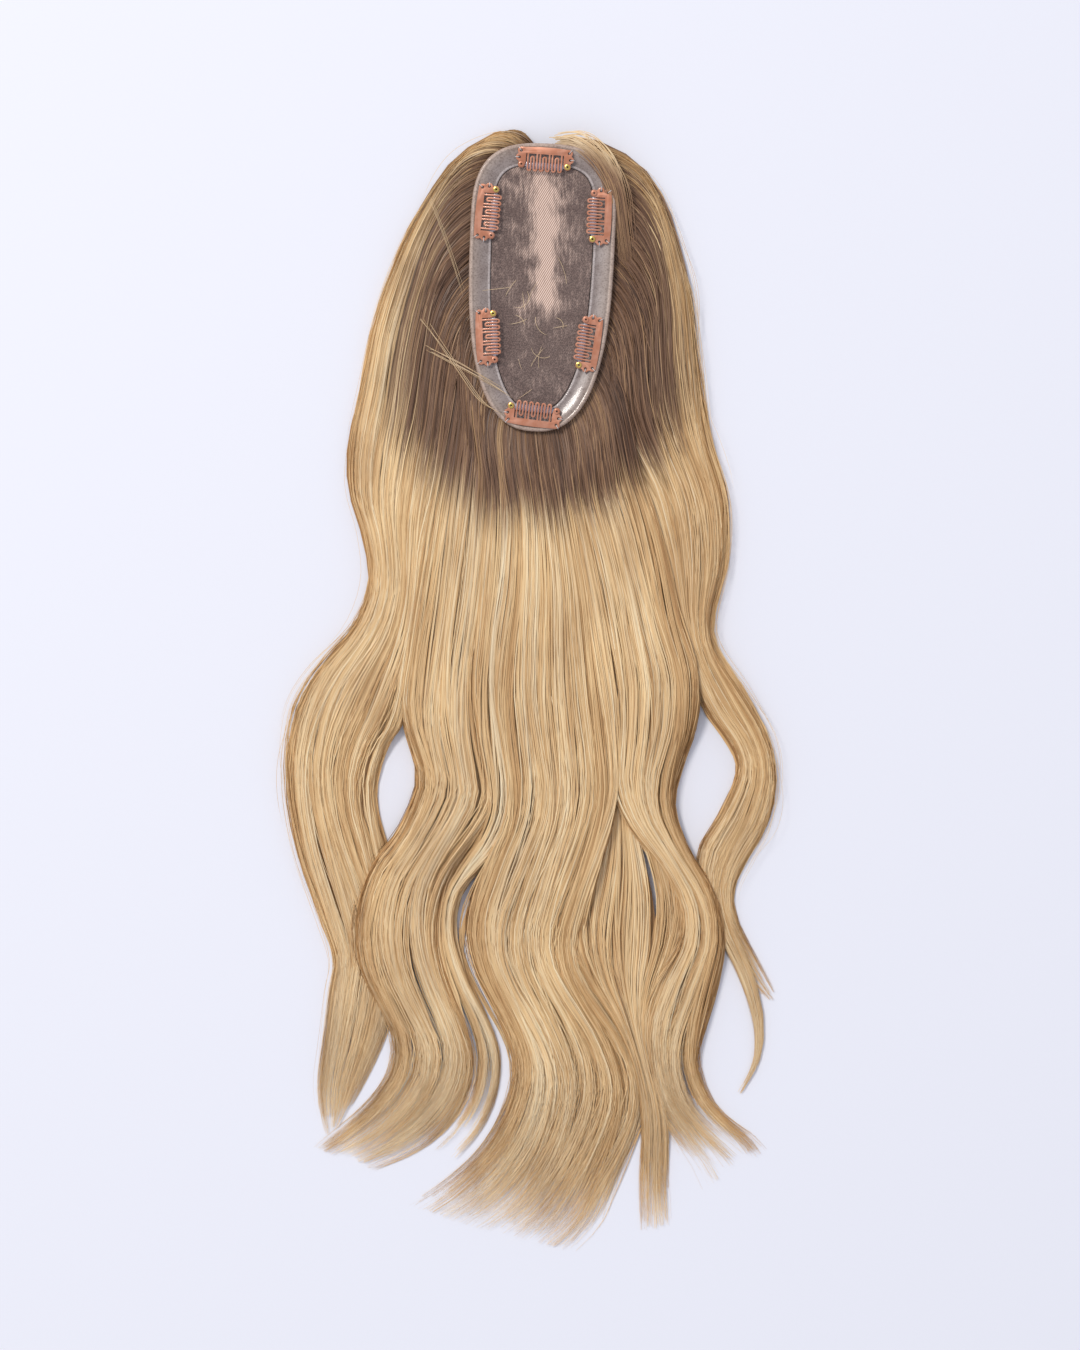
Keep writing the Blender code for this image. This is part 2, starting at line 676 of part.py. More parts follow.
def build():
    clear_scene()
    finishes = {
        "skin": material("clear_skin", (0.60, 0.52, 0.47), 0.35),
        "mesh": material("fine_mesh", (0.25, 0.19, 0.16), 0.75),
        "plate": material("tan_enamel", (0.62, 0.33, 0.22), 0.35, 0.3),
        "bar": material("steel", (0.70, 0.70, 0.72), 0.30, 1.0),
        "brass": material("brass", (0.80, 0.62, 0.30), 0.25, 1.0),
        "grip": material("clear_silicone", (0.75, 0.72, 0.78), 0.25),
        "hair": material("blonde_hair", (0.70, 0.50, 0.28), 0.45),
    }
    base = bpy.data.objects.new("base", None)
    bpy.context.scene.collection.objects.link(base)
    base.location = (BASE_SIDE_SHIFT, BASE_MIDDLE_Y, 0)
    base.rotation_euler.z = BASE_TURN
    add_object("base_rim", rim(), finishes["skin"], base)
    add_object("base_panel", panel(), finishes["mesh"], base)
    for name, row in CLIPS.items():
        seat = dict(zip(CLIP_COLUMNS, row))
        place_clip(name, seat["heading"], seat["askew"], base, finishes)
    for name in LOCKS:
        add_object(name, loft(lock_sections(name)), finishes["hair"])


build()
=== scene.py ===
"""Looks of the hair topper, lying scalp side up on its hair.

Each lock of the frame is shown by fine ribbon strands that leave the base and follow the
lock's course. The base gets a skin rim, a mesh panel with a pale parting, and sewn clips.
"""

import math

import bmesh
import bpy
import numpy as np
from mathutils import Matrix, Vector


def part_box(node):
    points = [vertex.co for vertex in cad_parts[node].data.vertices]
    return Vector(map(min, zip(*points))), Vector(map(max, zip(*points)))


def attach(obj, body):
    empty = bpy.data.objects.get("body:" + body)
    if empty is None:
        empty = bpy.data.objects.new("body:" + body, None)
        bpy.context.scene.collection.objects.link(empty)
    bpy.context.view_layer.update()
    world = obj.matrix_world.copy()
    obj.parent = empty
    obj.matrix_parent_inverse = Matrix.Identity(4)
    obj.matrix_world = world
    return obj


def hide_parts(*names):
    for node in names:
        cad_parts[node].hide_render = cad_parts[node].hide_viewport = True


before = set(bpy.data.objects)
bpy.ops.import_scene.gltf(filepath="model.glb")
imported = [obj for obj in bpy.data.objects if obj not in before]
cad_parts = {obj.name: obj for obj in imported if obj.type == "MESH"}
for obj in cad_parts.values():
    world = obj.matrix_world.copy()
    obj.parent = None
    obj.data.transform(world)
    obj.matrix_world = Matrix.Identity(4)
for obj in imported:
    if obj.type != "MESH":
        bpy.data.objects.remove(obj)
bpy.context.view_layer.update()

MM = 0.001
TURN = 2 * math.pi
SEED = 7
BODY = "root"

# The photograph's frame, in pixels, and where its scale puts them
FRAME_PIXELS = (1080, 1350)
PIXEL = 0.4861 * MM
ORIGIN_PIXEL = (531, 688)

# Camera, floor and light
LENS = 85
SENSOR_HEIGHT = 24
FLOOR_SIZE = 6.0
FLOOR_GAP = 0.1 * MM
KEY_TARGET = (0, 0.05, 0)
FLOOR_COLOUR = "eef0f7"
SKY_COLOUR = "eceefa"
SKY_STRENGTH = 0.70
KEY_PLACE = (-1.8, 1.8, 3.2)
KEY_SIZE = 1.1
KEY_POWER = 88
KEY_COLOUR = "fffaf4"

# Depths of the hair, as in the frame
BED_DEPTH = 8.4 * MM
HAIR_DEPTH = 12 * MM
LOCK_RISE_LENGTH = 45 * MM

# Base, as in the frame
BASE_LENGTH = 140 * MM
BASE_WIDTH = 70.5 * MM
BASE_TURN = math.radians(-2.4)
BASE_MIDDLE = (4.6 * MM, 194.5 * MM)
WIDEST_SHARE = 0.28
OUTLINE_POWER = 3.0
FRONT_ROUNDNESS = 0.35
BACK_ROUNDNESS = 0.40
RIM_WIDTH = 10.5 * MM
RIM_THICKNESS = 1.0 * MM
RIM_INNER_TOP = 10.5 * MM
RIM_CREST = 1.5 * MM
PANEL_TOP = 9.7 * MM
PANEL_DIP = 0.8 * MM
PANEL_THICKNESS = 0.6 * MM
CLEARANCE = 0.3 * MM

# Strands
ROOT_SAMPLES = 8  # points of a strand between its root and where it joins the lock's course
FALL_SAMPLES = 36
STRAND_WIDTH = (0.28 * MM, 0.58 * MM)
UNDER_WIDTH = (2.0 * MM, 3.2 * MM)  # broad strips that show between the strands
UNDER_PITCH = 1.1 * MM
UNDER_LAYERS = (0.25, 0.50)  # shares of the lock's height that the strips lie at
UNDER_ENDS = (0.82, 0.93)  # shares of the lock's length that they end at
ROOT_INSET = (2.5 * MM, 6 * MM)  # how far inside the rim's outer edge the hair starts
FRONT_REACH = 22 * MM  # from a root to where its strand joins the course
SIDE_REACH = 44 * MM
REACH_SPREAD = (0.8, 1.2)
FRONT_TURN = 0.25  # where the base's front is, as a part of a turn
ROOT_STRAY = 0.02
ROOT_HUMP = 1.1 * MM
SMALL_CLUMP = 2.6 * MM
BIG_CLUMP = 10 * MM
BIG_RELIEF = 1.3 * MM
SMALL_RELIEF = 0.3 * MM
BIG_ROLL = math.radians(34)
SMALL_ROLL = math.radians(20)
EDGE_ROLL = math.radians(30)
LOOSE_ROLL = math.radians(16)
FRIZZ = 0.35 * MM
FRIZZ_LENGTH = 60 * MM
LOWEST = 0.4 * MM
CLUMP_ENDS = 0.09  # shares of the length by which clumps and strands end early
STRAND_ENDS = 0.10
SHORT_STRANDS = 0.08
SHORT_ENDS = (0.72, 0.95)
SMALL_GATHER = (0.10, 0.45)  # how far strands draw to a clump's middle at first, and more at the tips
BIG_GATHER = 0.32
SMALL_SWAY = 0.35
BIG_SWAY = 0.16
ROAMING_STRANDS = 0.14
ROAM = (0.018, 0.09)  # how far most strands and the roaming ones stray across the lock
TIP_SPREAD = 0.05
SHARED_OVERLAP = 0.10  # how far strands cross an edge that two locks share
PAST_EDGE = 0.03

# How much lighter or darker strands are: by big clump, small clump and strand at random, by height, which
# is painted shade on lower strands, and by tip, where tips are paler and carry painted light
BIG_TONE = 0.07
SMALL_TONE = 0.09
STRAND_TONE = 0.13
LOW_LAYER_SHADE = 0.22
# Tips lighter: partly their own paler colour, partly painted light shining through the thin tips
TIP_PALENESS_AND_LIGHT = 0.16
# Painted sheen: lighter and darker bands along each strand, with a phase that each small clump shares
SHEEN_BAND_TONE = 0.05
SHEEN_BAND_LENGTH = 130 * MM
# Painted shade on the broad strips that lie under the strands
UNDER_STRIP_SHADE = -0.04
OPENING = 80  # pixels over which a lock's edge comes free of its neighbour

# Dark roots: along the base from its back to its front, how far they reach past its edge,
# and the length over which they turn golden
HALO_ALONG = (-75 * MM, -40 * MM, 0, 30 * MM, 55 * MM, 72 * MM)
HALO_DARK = (28 * MM, 26 * MM, 22 * MM, 15 * MM, 8 * MM, -2 * MM)
HALO_FADE = (26 * MM, 24 * MM, 20 * MM, 18 * MM, 18 * MM, 16 * MM)
SPINE = (-38 * MM, 36 * MM)
SPINE_REACH = 34 * MM
HALO_STRAY = (3.5 * MM, 2.5 * MM)  # by strand and by small clump

# Locks of hair. Each row joins a point of the lock's left edge to one of its right edge,
# in the photograph's pixels, with the lowest and the highest of its strands there as
# percentages of the hair's depth.
LOCK_COLUMNS = ("left_x", "left_y", "right_x", "right_y", "low", "high")
LOCKS = {
    "hair_outer_left": (
        (546, 140, 543, 156, 30, 70),
        (524, 129, 515, 156, 20, 85),
        (498, 132, 490, 166, 10, 92),
        (463, 153, 474, 190, 0, 96),
        (438, 181, 468, 228, 0, 98),
        (410, 227, 463, 282, 0, 100),
        (391, 272, 458, 332, 0, 100),
        (375, 321, 452, 378, 0, 100),
        (363, 384, 444, 432, 0, 90),
        (352, 442, 434, 484, 0, 80),
        (352, 490, 426, 528, 0, 74),
        (366, 538, 421, 566, 0, 72),
        (370, 583, 418, 604, 0, 72),
        (353, 625, 414, 644, 0, 74),
        (315, 666, 407, 688, 0, 76),
        (293, 703, 398, 722, 0, 78),
        (285, 743, 384, 748, 0, 76),
        (285, 776, 374, 782, 0, 72),
        (290, 815, 376, 815, 0, 66),
        (301, 861, 386, 852, 0, 56),
        (322, 919, 396, 902, 0, 46),
        (335, 960, 400, 950, 0, 40),
        (331, 990, 396, 992, 0, 38),
        (325, 1037, 386, 1032, 0, 34),
        (318, 1085, 368, 1075, 0, 26),
        (322, 1122, 350, 1108, 0, 18),
        (328, 1142, 338, 1126, 0, 12),
    ),
    "hair_inner_left": (
        (474, 240, 500, 250, 0, 92),
        (468, 300, 502, 310, 0, 94),
        (459, 360, 500, 375, 0, 96),
        (449, 420, 496, 440, 0, 92),
        (438, 476, 494, 505, 0, 84),
        (428, 532, 490, 568, 0, 82),
        (420, 590, 483, 626, 0, 86),
        (412, 650, 477, 685, 0, 90),
        (405, 706, 481, 735, 0, 90),
        (411, 745, 488, 775, 0, 88),
        (418, 775, 490, 804, 5, 88),
        (411, 803, 475, 835, 15, 90),
        (394, 836, 452, 870, 25, 92),
        (372, 862, 441, 902, 35, 92),
        (358, 895, 439, 938, 40, 90),
        (352, 932, 446, 970, 40, 86),
        (357, 968, 458, 1000, 34, 78),
        (374, 1002, 470, 1032, 24, 66),
        (392, 1037, 476, 1062, 12, 54),
        (390, 1072, 468, 1094, 0, 44),
        (366, 1106, 448, 1126, 0, 34),
        (336, 1132, 416, 1152, 0, 24),
        (312, 1150, 370, 1172, 0, 14),
    ),
    "hair_slim_left": (
        (484, 380, 504, 412, 10, 96),
        (492, 446, 512, 470, 0, 90),
        (494, 508, 514, 530, 0, 86),
        (490, 568, 512, 588, 0, 88),
        (483, 626, 505, 642, 0, 92),
        (478, 685, 501, 697, 0, 96),
        (481, 735, 506, 744, 0, 98),
        (488, 778, 511, 786, 0, 96),
        (490, 808, 508, 818, 0, 90),
        (478, 838, 496, 848, 0, 82),
        (456, 868, 480, 868, 0, 72),
        (441, 900, 461, 892, 0, 62),
        (439, 935, 455, 928, 0, 54),
        (447, 968, 462, 960, 0, 48),
        (459, 998, 474, 990, 0, 44),
        (472, 1028, 490, 1022, 0, 40),
        (479, 1060, 500, 1056, 0, 36),
        (472, 1096, 496, 1097, 0, 30),
        (450, 1130, 478, 1136, 0, 24),
        (414, 1162, 446, 1172, 0, 16),
    ),
    "hair_centre": (
        (500, 404, 556, 420, 20, 96),
        (510, 468, 568, 474, 0, 92),
        (514, 530, 580, 530, 0, 88),
        (511, 590, 592, 590, 0, 92),
        (504, 642, 600, 640, 0, 98),
        (500, 695, 607, 692, 0, 100),
        (505, 743, 612, 744, 0, 100),
        (511, 785, 614, 790, 0, 100),
        (508, 820, 608, 824, 0, 98),
        (495, 850, 596, 866, 5, 96),
        (480, 880, 585, 908, 10, 94),
        (466, 910, 580, 945, 10, 90),
        (463, 940, 587, 978, 5, 86),
        (471, 971, 606, 1010, 0, 82),
        (487, 1003, 628, 1045, 0, 78),
        (505, 1036, 640, 1080, 0, 72),
        (514, 1070, 641, 1115, 0, 64),
        (506, 1110, 630, 1150, 0, 54),
        (482, 1152, 614, 1188, 0, 42),
        (440, 1190, 596, 1226, 0, 28),
        (404, 1212, 568, 1254, 0, 14),
    ),
    "hair_inner_right": (
        (566, 420, 592, 412, 10, 70),
        (580, 520, 612, 520, 0, 60),
        (592, 610, 624, 610, 0, 60),
        (600, 700, 632, 700, 0, 58),
        (604, 768, 636, 768, 0, 56),
        (600, 815, 650, 818, 0, 54),
        (588, 862, 674, 860, 0, 52),
        (578, 905, 690, 900, 0, 50),
        (576, 945, 688, 945, 0, 48),
        (590, 982, 670, 986, 0, 48),
        (614, 1020, 654, 1026, 0, 50),
        (632, 1060, 654, 1066, 0, 44),
        (640, 1100, 664, 1106, 0, 38),
        (642, 1136, 668, 1142, 0, 30),
        (640, 1180, 668, 1186, 0, 22),
        (642, 1232, 672, 1230, 0, 12),
    ),
    "hair_right": (
        (558, 418, 600, 392, 10, 94),
        (570, 478, 626, 444, 0, 90),
        (582, 530, 649, 500, 0, 88),
        (594, 590, 666, 560, 0, 92),
        (602, 642, 680, 620, 0, 96),
        (609, 692, 695, 674, 0, 98),
        (613, 744, 692, 726, 0, 98),
        (615, 790, 679, 771, 5, 96),
        (632, 830, 674, 806, 15, 94),
        (662, 869, 689, 850, 25, 92),
        (679, 911, 714, 890, 30, 90),
        (674, 947, 725, 936, 20, 84),
        (650, 983, 718, 984, 10, 78),
        (635, 1023, 706, 1033, 0, 70),
        (639, 1064, 700, 1066, 0, 60),
        (650, 1105, 712, 1102, 0, 48),
        (672, 1142, 736, 1126, 0, 34),
        (694, 1172, 758, 1142, 0, 22),
        (706, 1196, 768, 1156, 0, 12),
    ),
    "hair_outer_right": (
        (549, 156, 547, 141, 30, 70),
        (578, 158, 566, 136, 20, 85),
        (602, 172, 601, 143, 10, 92),
        (614, 197, 638, 164, 0, 96),
        (618, 236, 663, 200, 0, 98),
        (616, 282, 680, 250, 0, 100),
        (614, 326, 692, 300, 0, 100),
        (611, 370, 698, 356, 0, 100),
        (614, 412, 705, 412, 0, 92),
        (629, 452, 711, 444, 0, 84),
        (651, 502, 726, 500, 0, 80),
        (666, 560, 725, 560, 0, 80),
        (680, 620, 711, 618, 0, 80),
        (692, 667, 716, 650, 0, 78),
        (708, 711, 743, 691, 0, 74),
        (732, 745, 768, 736, 0, 68),
        (739, 771, 776, 779, 0, 64),
        (724, 808, 767, 824, 0, 56),
        (703, 850, 745, 863, 0, 46),
        (700, 886, 733, 892, 0, 38),
        (712, 920, 739, 924, 0, 34),
        (731, 955, 757, 957, 0, 28),
        (752, 984, 770, 982, 0, 20),
        (770, 1002, 779, 1000, 0, 12),
    ),
}
# A second tip of the outer right lock, and how many of its strands fall into it
FORKED_TIP = (
    (700, 850, 745, 863, 0, 44),
    (700, 890, 733, 894, 0, 38),
    (716, 932, 740, 938, 0, 34),
    (734, 966, 752, 966, 0, 30),
    (748, 1002, 761, 998, 0, 26),
    (755, 1036, 765, 1032, 0, 22),
    (752, 1068, 760, 1064, 0, 16),
    (736, 1096, 744, 1094, 0, 10),
)
FORKED_SHARE = 0.42
STRAND_COUNTS = {
    "hair_outer_left": 2050,
    "hair_inner_left": 1550,
    "hair_slim_left": 480,
    "hair_centre": 2150,
    "hair_inner_right": 700,
    "hair_right": 1350,
    "hair_outer_right": 1550,
}
# Where each lock is rooted on the base's edge, at its left and its right, as parts of a turn
# round the base from its right side towards its front
ROOT_ARCS = {
    "hair_outer_left": (0.258, 0.570),
    "hair_inner_left": (0.535, 0.665),
    "hair_slim_left": (0.650, 0.705),
    "hair_centre": (0.690, 0.805),
    "hair_inner_right": (0.790, 0.835),
    "hair_right": (0.795, 0.925),
    "hair_outer_right": (-0.095, 0.242),
}
# How far down the photograph, in pixels, each lock's left and right edges come free of
# their neighbours. An outer edge is free from above the picture on.
ABOVE = -200
FREE_FROM = {
    "hair_outer_left": (ABOVE, 690),
    "hair_inner_left": (690, 790),
    "hair_slim_left": (800, 845),
    "hair_centre": (845, 880),
    "hair_inner_right": (1080, 1100),
    "hair_right": (800, 690),
    "hair_outer_right": (655, ABOVE),
}
# Ways of the loose hairs over the base, in pixels across and down and in millimetres up
CORNER_WISP = (
    (560, 142, 8.0),
    (578, 142, 10.5),
    (594, 151, 12.4),
    (608, 168, 13.0),
    (617, 190, 12.6),
    (622, 220, 9.5),
    (628, 262, 8.4),
)
RIM_HAIRS = ((430, 350, 9.0), (446, 359, 9.4), (468, 371, 12.4), (490, 383, 12.2), (512, 396, 11.4))
LOW_RIM_HAIRS = ((424, 318, 9.0), (440, 340, 9.2), (462, 372, 11.8), (480, 398, 12.4), (500, 412, 12.0))
SIDE_HAIRS = ((430, 200, 9.2), (438, 220, 9.6), (450, 254, 9.6), (463, 294, 9.4))
# How many hairs take each way, and how far they spread
WISPS = (
    (70, 2.3 * MM, CORNER_WISP),
    (5, 1.4 * MM, RIM_HAIRS),
    (4, 1.8 * MM, LOW_RIM_HAIRS),
    (3, 1.0 * MM, SIDE_HAIRS),
)
FEW_HAIRS = 10
PANEL_HAIRS = 16


def linear(code):
    """Linear colour of a six-digit sRGB code."""
    channels = [int(code[i : i + 2], 16) / 255 for i in (0, 2, 4)]
    return tuple(c / 12.92 if c <= 0.04045 else ((c + 0.055) / 1.055) ** 2.4 for c in channels)


def smoothstep(value):
    t = np.clip(value, 0, 1)
    return t * t * (3 - 2 * t)


def from_pixels(points):
    """World x and y of points given in the photograph's pixels."""
    points = np.asarray(points, float)
    return np.stack([points[..., 0] - ORIGIN_PIXEL[0], ORIGIN_PIXEL[1] - points[..., 1]], -1) * PIXEL


# Materials


def shader_of(name, roughness, **levels):
    """A new material, its node tree and its Principled shader."""
    made = bpy.data.materials.new(name)
    made.use_nodes = True
    shader = made.node_tree.nodes["Principled BSDF"]
    shader.inputs["Roughness"].default_value = roughness
    for label, level in levels.items():
        shader.inputs[label.replace("_", " ")].default_value = level
    return made, made.node_tree, shader


def add_node(tree, kind, inputs=None, **settings):
    node = tree.nodes.new(kind)
    for key, value in settings.items():
        setattr(node, key, value)
    for key, value in (inputs or {}).items():
        socket = node.inputs[key]
        if isinstance(value, bpy.types.NodeSocket):
            tree.links.new(value, socket)
        else:
            socket.default_value = value
    return node


def attribute(tree, name):
    return add_node(tree, "ShaderNodeAttribute", attribute_name=name).outputs["Fac"]


def ramp(tree, value, stops):
    """A colour ramp over the value, through (place, colour code) stops."""
    node = add_node(tree, "ShaderNodeValToRGB", {"Fac": value})
    elements = node.color_ramp.elements
    while len(elements) < len(stops):
        elements.new(0.5)
    for element, (place, code) in zip(elements, stops):
        element.position = place
        element.color = (*linear(code), 1)
    return node.outputs["Color"]


def blend_colours(tree, factor, first, second, mode="MIX"):
    """First with second over it by the factor. A colour may be a code or a socket."""
    node = add_node(tree, "ShaderNodeMix", data_type="RGBA", blend_type=mode)
    for place, value in ((0, factor), (6, first), (7, second)):
        socket = node.inputs[place]
        if isinstance(value, bpy.types.NodeSocket):
            tree.links.new(value, socket)
        else:
            socket.default_value = (*linear(value), 1) if isinstance(value, str) else value
    return node.outputs[2]


def mapped(tree, value, low, high, to_low=0.0, to_high=1.0):
    inputs = {"Value": value, "From Min": low, "From Max": high, "To Min": to_low, "To Max": to_high}
    return add_node(tree, "ShaderNodeMapRange", inputs, interpolation_type="SMOOTHSTEP").outputs["Result"]


def noise(tree, scale, detail=2.0, stretch=(1, 1, 1), turn=0.0, distortion=0.0):
    place = add_node(tree, "ShaderNodeTexCoord").outputs["Object"]
    inputs = {"Vector": place, "Scale": stretch, "Rotation": (0, 0, turn)}
    turned = add_node(tree, "ShaderNodeMapping", inputs).outputs["Vector"]
    inputs = {"Vector": turned, "Scale": scale, "Detail": detail, "Distortion": distortion}
    return add_node(tree, "ShaderNodeTexNoise", inputs).outputs["Fac"]


BAND_PITCH = 0.314  # metres between a wave texture's bands at scale 1


def waves(tree, pitch, turn):
    """Bands of the given pitch in metres, square to a direction in the base's plane."""
    place = add_node(tree, "ShaderNodeTexCoord").outputs["Object"]
    inputs = {"Vector": place, "Rotation": (0, 0, turn)}
    turned = add_node(tree, "ShaderNodeMapping", inputs).outputs["Vector"]
    inputs = {"Vector": turned, "Scale": BAND_PITCH / pitch, "Distortion": 1.5, "Detail": 1.0}
    return add_node(tree, "ShaderNodeTexWave", inputs).outputs["Fac"]


def bump(tree, shader, height, strength, distance):
    inputs = {"Height": height, "Strength": strength, "Distance": distance}
    tree.links.new(add_node(tree, "ShaderNodeBump", inputs).outputs["Normal"], shader.inputs["Normal"])


def hair_material():
    """Dark roots that fade into golden lengths, each strand a little lighter or darker; its tone also
    carries painted shade on lower strands, painted sheen bands and painted light in the tips.
    """
    made, tree, shader = shader_of("rooted_blonde_hair", 0.40, Specular_IOR_Level=0.30)
    tone = attribute(tree, "tone")
    roots = ramp(tree, tone, ((0.0, "3f2f25"), (0.4, "6f5442"), (0.7, "8f6f56"), (1.0, "b8946c")))
    lengths = ramp(tree, tone, ((0.0, "a97f52"), (0.3, "dcb37c"), (0.6, "f6d59f"), (1.0, "ffedc6")))
    grown = mapped(tree, attribute(tree, "grown"), 0.0, 1.0)
    patches = noise(tree, 60, stretch=(1, 0.35, 1))
    colour = blend_colours(tree, grown, roots, lengths)
    shade = ramp(tree, patches, ((0.3, "e4dcd6"), (0.7, "ffffff")))
    colour = blend_colours(tree, 1.0, colour, shade, "MULTIPLY")
    tree.links.new(colour, shader.inputs["Base Color"])
    return made


# Colours of the skin ring from its inner edge to its outer lip. The darker stop at 0.80 is painted shade in
# the groove before the lip, and the paler lip after it is painted light where the lip rolls over
RIM_COLOURS = (
    (0.0, "a89d98"),
    (0.08, "c4bab6"),
    (0.14, "948883"),
    (0.40, "a2958f"),
    (0.70, "ab9c92"),
    (0.80, "9f8f84"),
    (0.86, "c6b2a3"),
    (1.0, "bda594"),
)


def rim_material():
    """Clear skin over hair roots: mottled grey-beige, with a paler rolled lip that is painted light, and
    painted shade in the groove before it.
    """
    made, tree, shader = shader_of("clear_skin", 0.34, Coat_Weight=0.25, Specular_IOR_Level=0.5)
    # the ramp paints shade in the groove before the lip and light on the lip
    body = ramp(tree, attribute(tree, "across"), RIM_COLOURS)
    knots = noise(tree, 1300, detail=3.0)
    mottle = noise(tree, 150, detail=4.0)
    dark = ramp(tree, knots, ((0.34, "8f837c"), (0.52, "ffffff")))
    soft = ramp(tree, mottle, ((0.3, "d9d2ce"), (0.7, "ffffff")))
    colour = blend_colours(tree, 0.5, body, dark, "MULTIPLY")
    colour = blend_colours(tree, 0.8, colour, soft, "MULTIPLY")
    tree.links.new(colour, shader.inputs["Base Color"])
    tree.links.new(mapped(tree, mottle, 0.3, 0.7, 0.22, 0.42), shader.inputs["Roughness"])
    bump(tree, shader, mottle, 0.20, 0.5 * MM)
    return made


def panel_material():
    """Fine dark mesh with a pale parting of woven silk down its middle."""
    made, tree, shader = shader_of("fine_mesh", 0.50, Sheen_Weight=0.10)
    knots = noise(tree, 1500, detail=2.0)
    cloud = noise(tree, 110, detail=5.0, distortion=0.4)
    warp = waves(tree, 0.90 * MM, math.radians(32))
    weft = waves(tree, 0.90 * MM, math.radians(-58))
    fibres = noise(tree, 900, detail=3.0, stretch=(1, 0.18, 1), turn=math.radians(14))
    dark = ramp(tree, knots, ((0.32, "54453f"), (0.5, "6c5850"), (0.68, "8a766d")))
    shade = ramp(tree, cloud, ((0.3, "d2c6c4"), (0.7, "ffffff")))
    dark = blend_colours(tree, 0.7, dark, shade, "MULTIPLY")
    silk = ramp(tree, warp, ((0.1, "a07d6b"), (0.55, "cdaa94"), (0.9, "f6e0d0")))
    part = attribute(tree, "parting")
    ragged = add_node(tree, "ShaderNodeMath", {0: mapped(tree, cloud, 0.3, 0.7, -0.16, 0.16), 1: part})
    frayed = add_node(
        tree, "ShaderNodeMath", {0: ragged.outputs["Value"], 1: mapped(tree, fibres, 0.3, 0.7, -0.22, 0.22)}
    )
    pale = mapped(tree, frayed.outputs["Value"], 0.02, 1.05)
    colour = blend_colours(tree, pale, dark, silk)
    tree.links.new(colour, shader.inputs["Base Color"])
    tree.links.new(mapped(tree, part, 0.2, 0.9, 0.55, 0.34), shader.inputs["Roughness"])
    crossed = add_node(tree, "ShaderNodeMath", {0: warp, 1: weft}, operation="MULTIPLY").outputs["Value"]
    bump(tree, shader, crossed, 0.30, 0.2 * MM)
    return made


def metal_material(name, code, roughness, metallic, wear):
    """Enamel or bare metal with faint smears."""
    made, tree, shader = shader_of(name, roughness, Metallic=metallic, Coat_Weight=0.15)
    smears = noise(tree, 260, detail=3.0)
    colour = blend_colours(tree, mapped(tree, smears, 0.35, 0.75, 0.0, wear), code, "f3cdb8")
    tree.links.new(colour, shader.inputs["Base Color"])
    rough = mapped(tree, smears, 0.2, 0.8, roughness - 0.06, roughness + 0.10)
    tree.links.new(rough, shader.inputs["Roughness"])
    return made


def grip_material():
    made, tree, shader = shader_of("clear_silicone", 0.22, Coat_Weight=0.3, Transmission_Weight=0.15)
    haze = noise(tree, 300)
    tree.links.new(ramp(tree, haze, ((0.3, "a59ba6"), (0.7, "d6cedb"))), shader.inputs["Base Color"])
    return made


def thread_material():
    made, tree, shader = shader_of("sewing_thread", 0.5, Sheen_Weight=0.3)
    twist = noise(tree, 4000)
    tree.links.new(ramp(tree, twist, ((0.3, "b9b4ae"), (0.7, "f4f2ee"))), shader.inputs["Base Color"])
    return made


def floor_material():
    made, tree, shader = shader_of("white_table", 0.7, Specular_IOR_Level=0.15)
    shader.inputs["Base Color"].default_value = (*linear(FLOOR_COLOUR), 1)
    return made


# Meshes


def add_piece(name, points, faces, finish, nodes=(), smooth=True, values=None):
    """A new piece from arrays of points and of faces with equal numbers of corners."""
    points = np.asarray(points, np.float32).reshape(-1, 3)
    faces = np.asarray(faces, np.int32)
    mesh = bpy.data.meshes.new(name)
    mesh.vertices.add(len(points))
    mesh.vertices.foreach_set("co", points.ravel())
    mesh.loops.add(faces.size)
    mesh.loops.foreach_set("vertex_index", faces.ravel())
    mesh.polygons.add(len(faces))
    mesh.polygons.foreach_set("loop_start", np.arange(len(faces), dtype=np.int32) * faces.shape[1])
    mesh.update(calc_edges=True)
    mesh.polygons.foreach_set("use_smooth", np.full(len(faces), smooth))
    for key, value in (values or {}).items():
        made = mesh.attributes.new(key, "FLOAT", "POINT")
        made.data.foreach_set("value", np.asarray(value, np.float32).ravel())
    mesh.materials.append(finish)
    piece = bpy.data.objects.new(name, mesh)
    bpy.context.scene.collection.objects.link(piece)
    return claim(piece, nodes)


def claim(piece, nodes=()):
    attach(piece, BODY)
    if nodes:
        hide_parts(*nodes)
    return piece


def grid_faces(rows, columns, around=False):
    """Quads of a grid of points, row after row, with its columns closed into a ring if around."""
    across = columns if around else columns - 1
    row, column = np.meshgrid(np.arange(rows - 1), np.arange(across), indexing="ij")
    following = (column + 1) % columns
    here, below = row * columns, (row + 1) * columns
    corners = (here + column, here + following, below + following, below + column)
    return np.stack(corners, -1).reshape(-1, 4)


# Hair


def along_rows(rows, index):
    """Smooth curve through the rows, read at fractional row numbers."""
    index = np.clip(index, 0, len(rows) - 1)
    k = np.minimum(index.astype(int), len(rows) - 2)
    t = (index - k)[..., None]
    before = rows[np.maximum(k - 1, 0)]
    first, second = rows[k], rows[k + 1]
    after = rows[np.minimum(k + 2, len(rows) - 1)]
    return 0.5 * (
        2 * first
        + (second - before) * t
        + (2 * before - 5 * first + 4 * second - after) * t**2
        + (3 * first - before - 3 * second + after) * t**3
    )


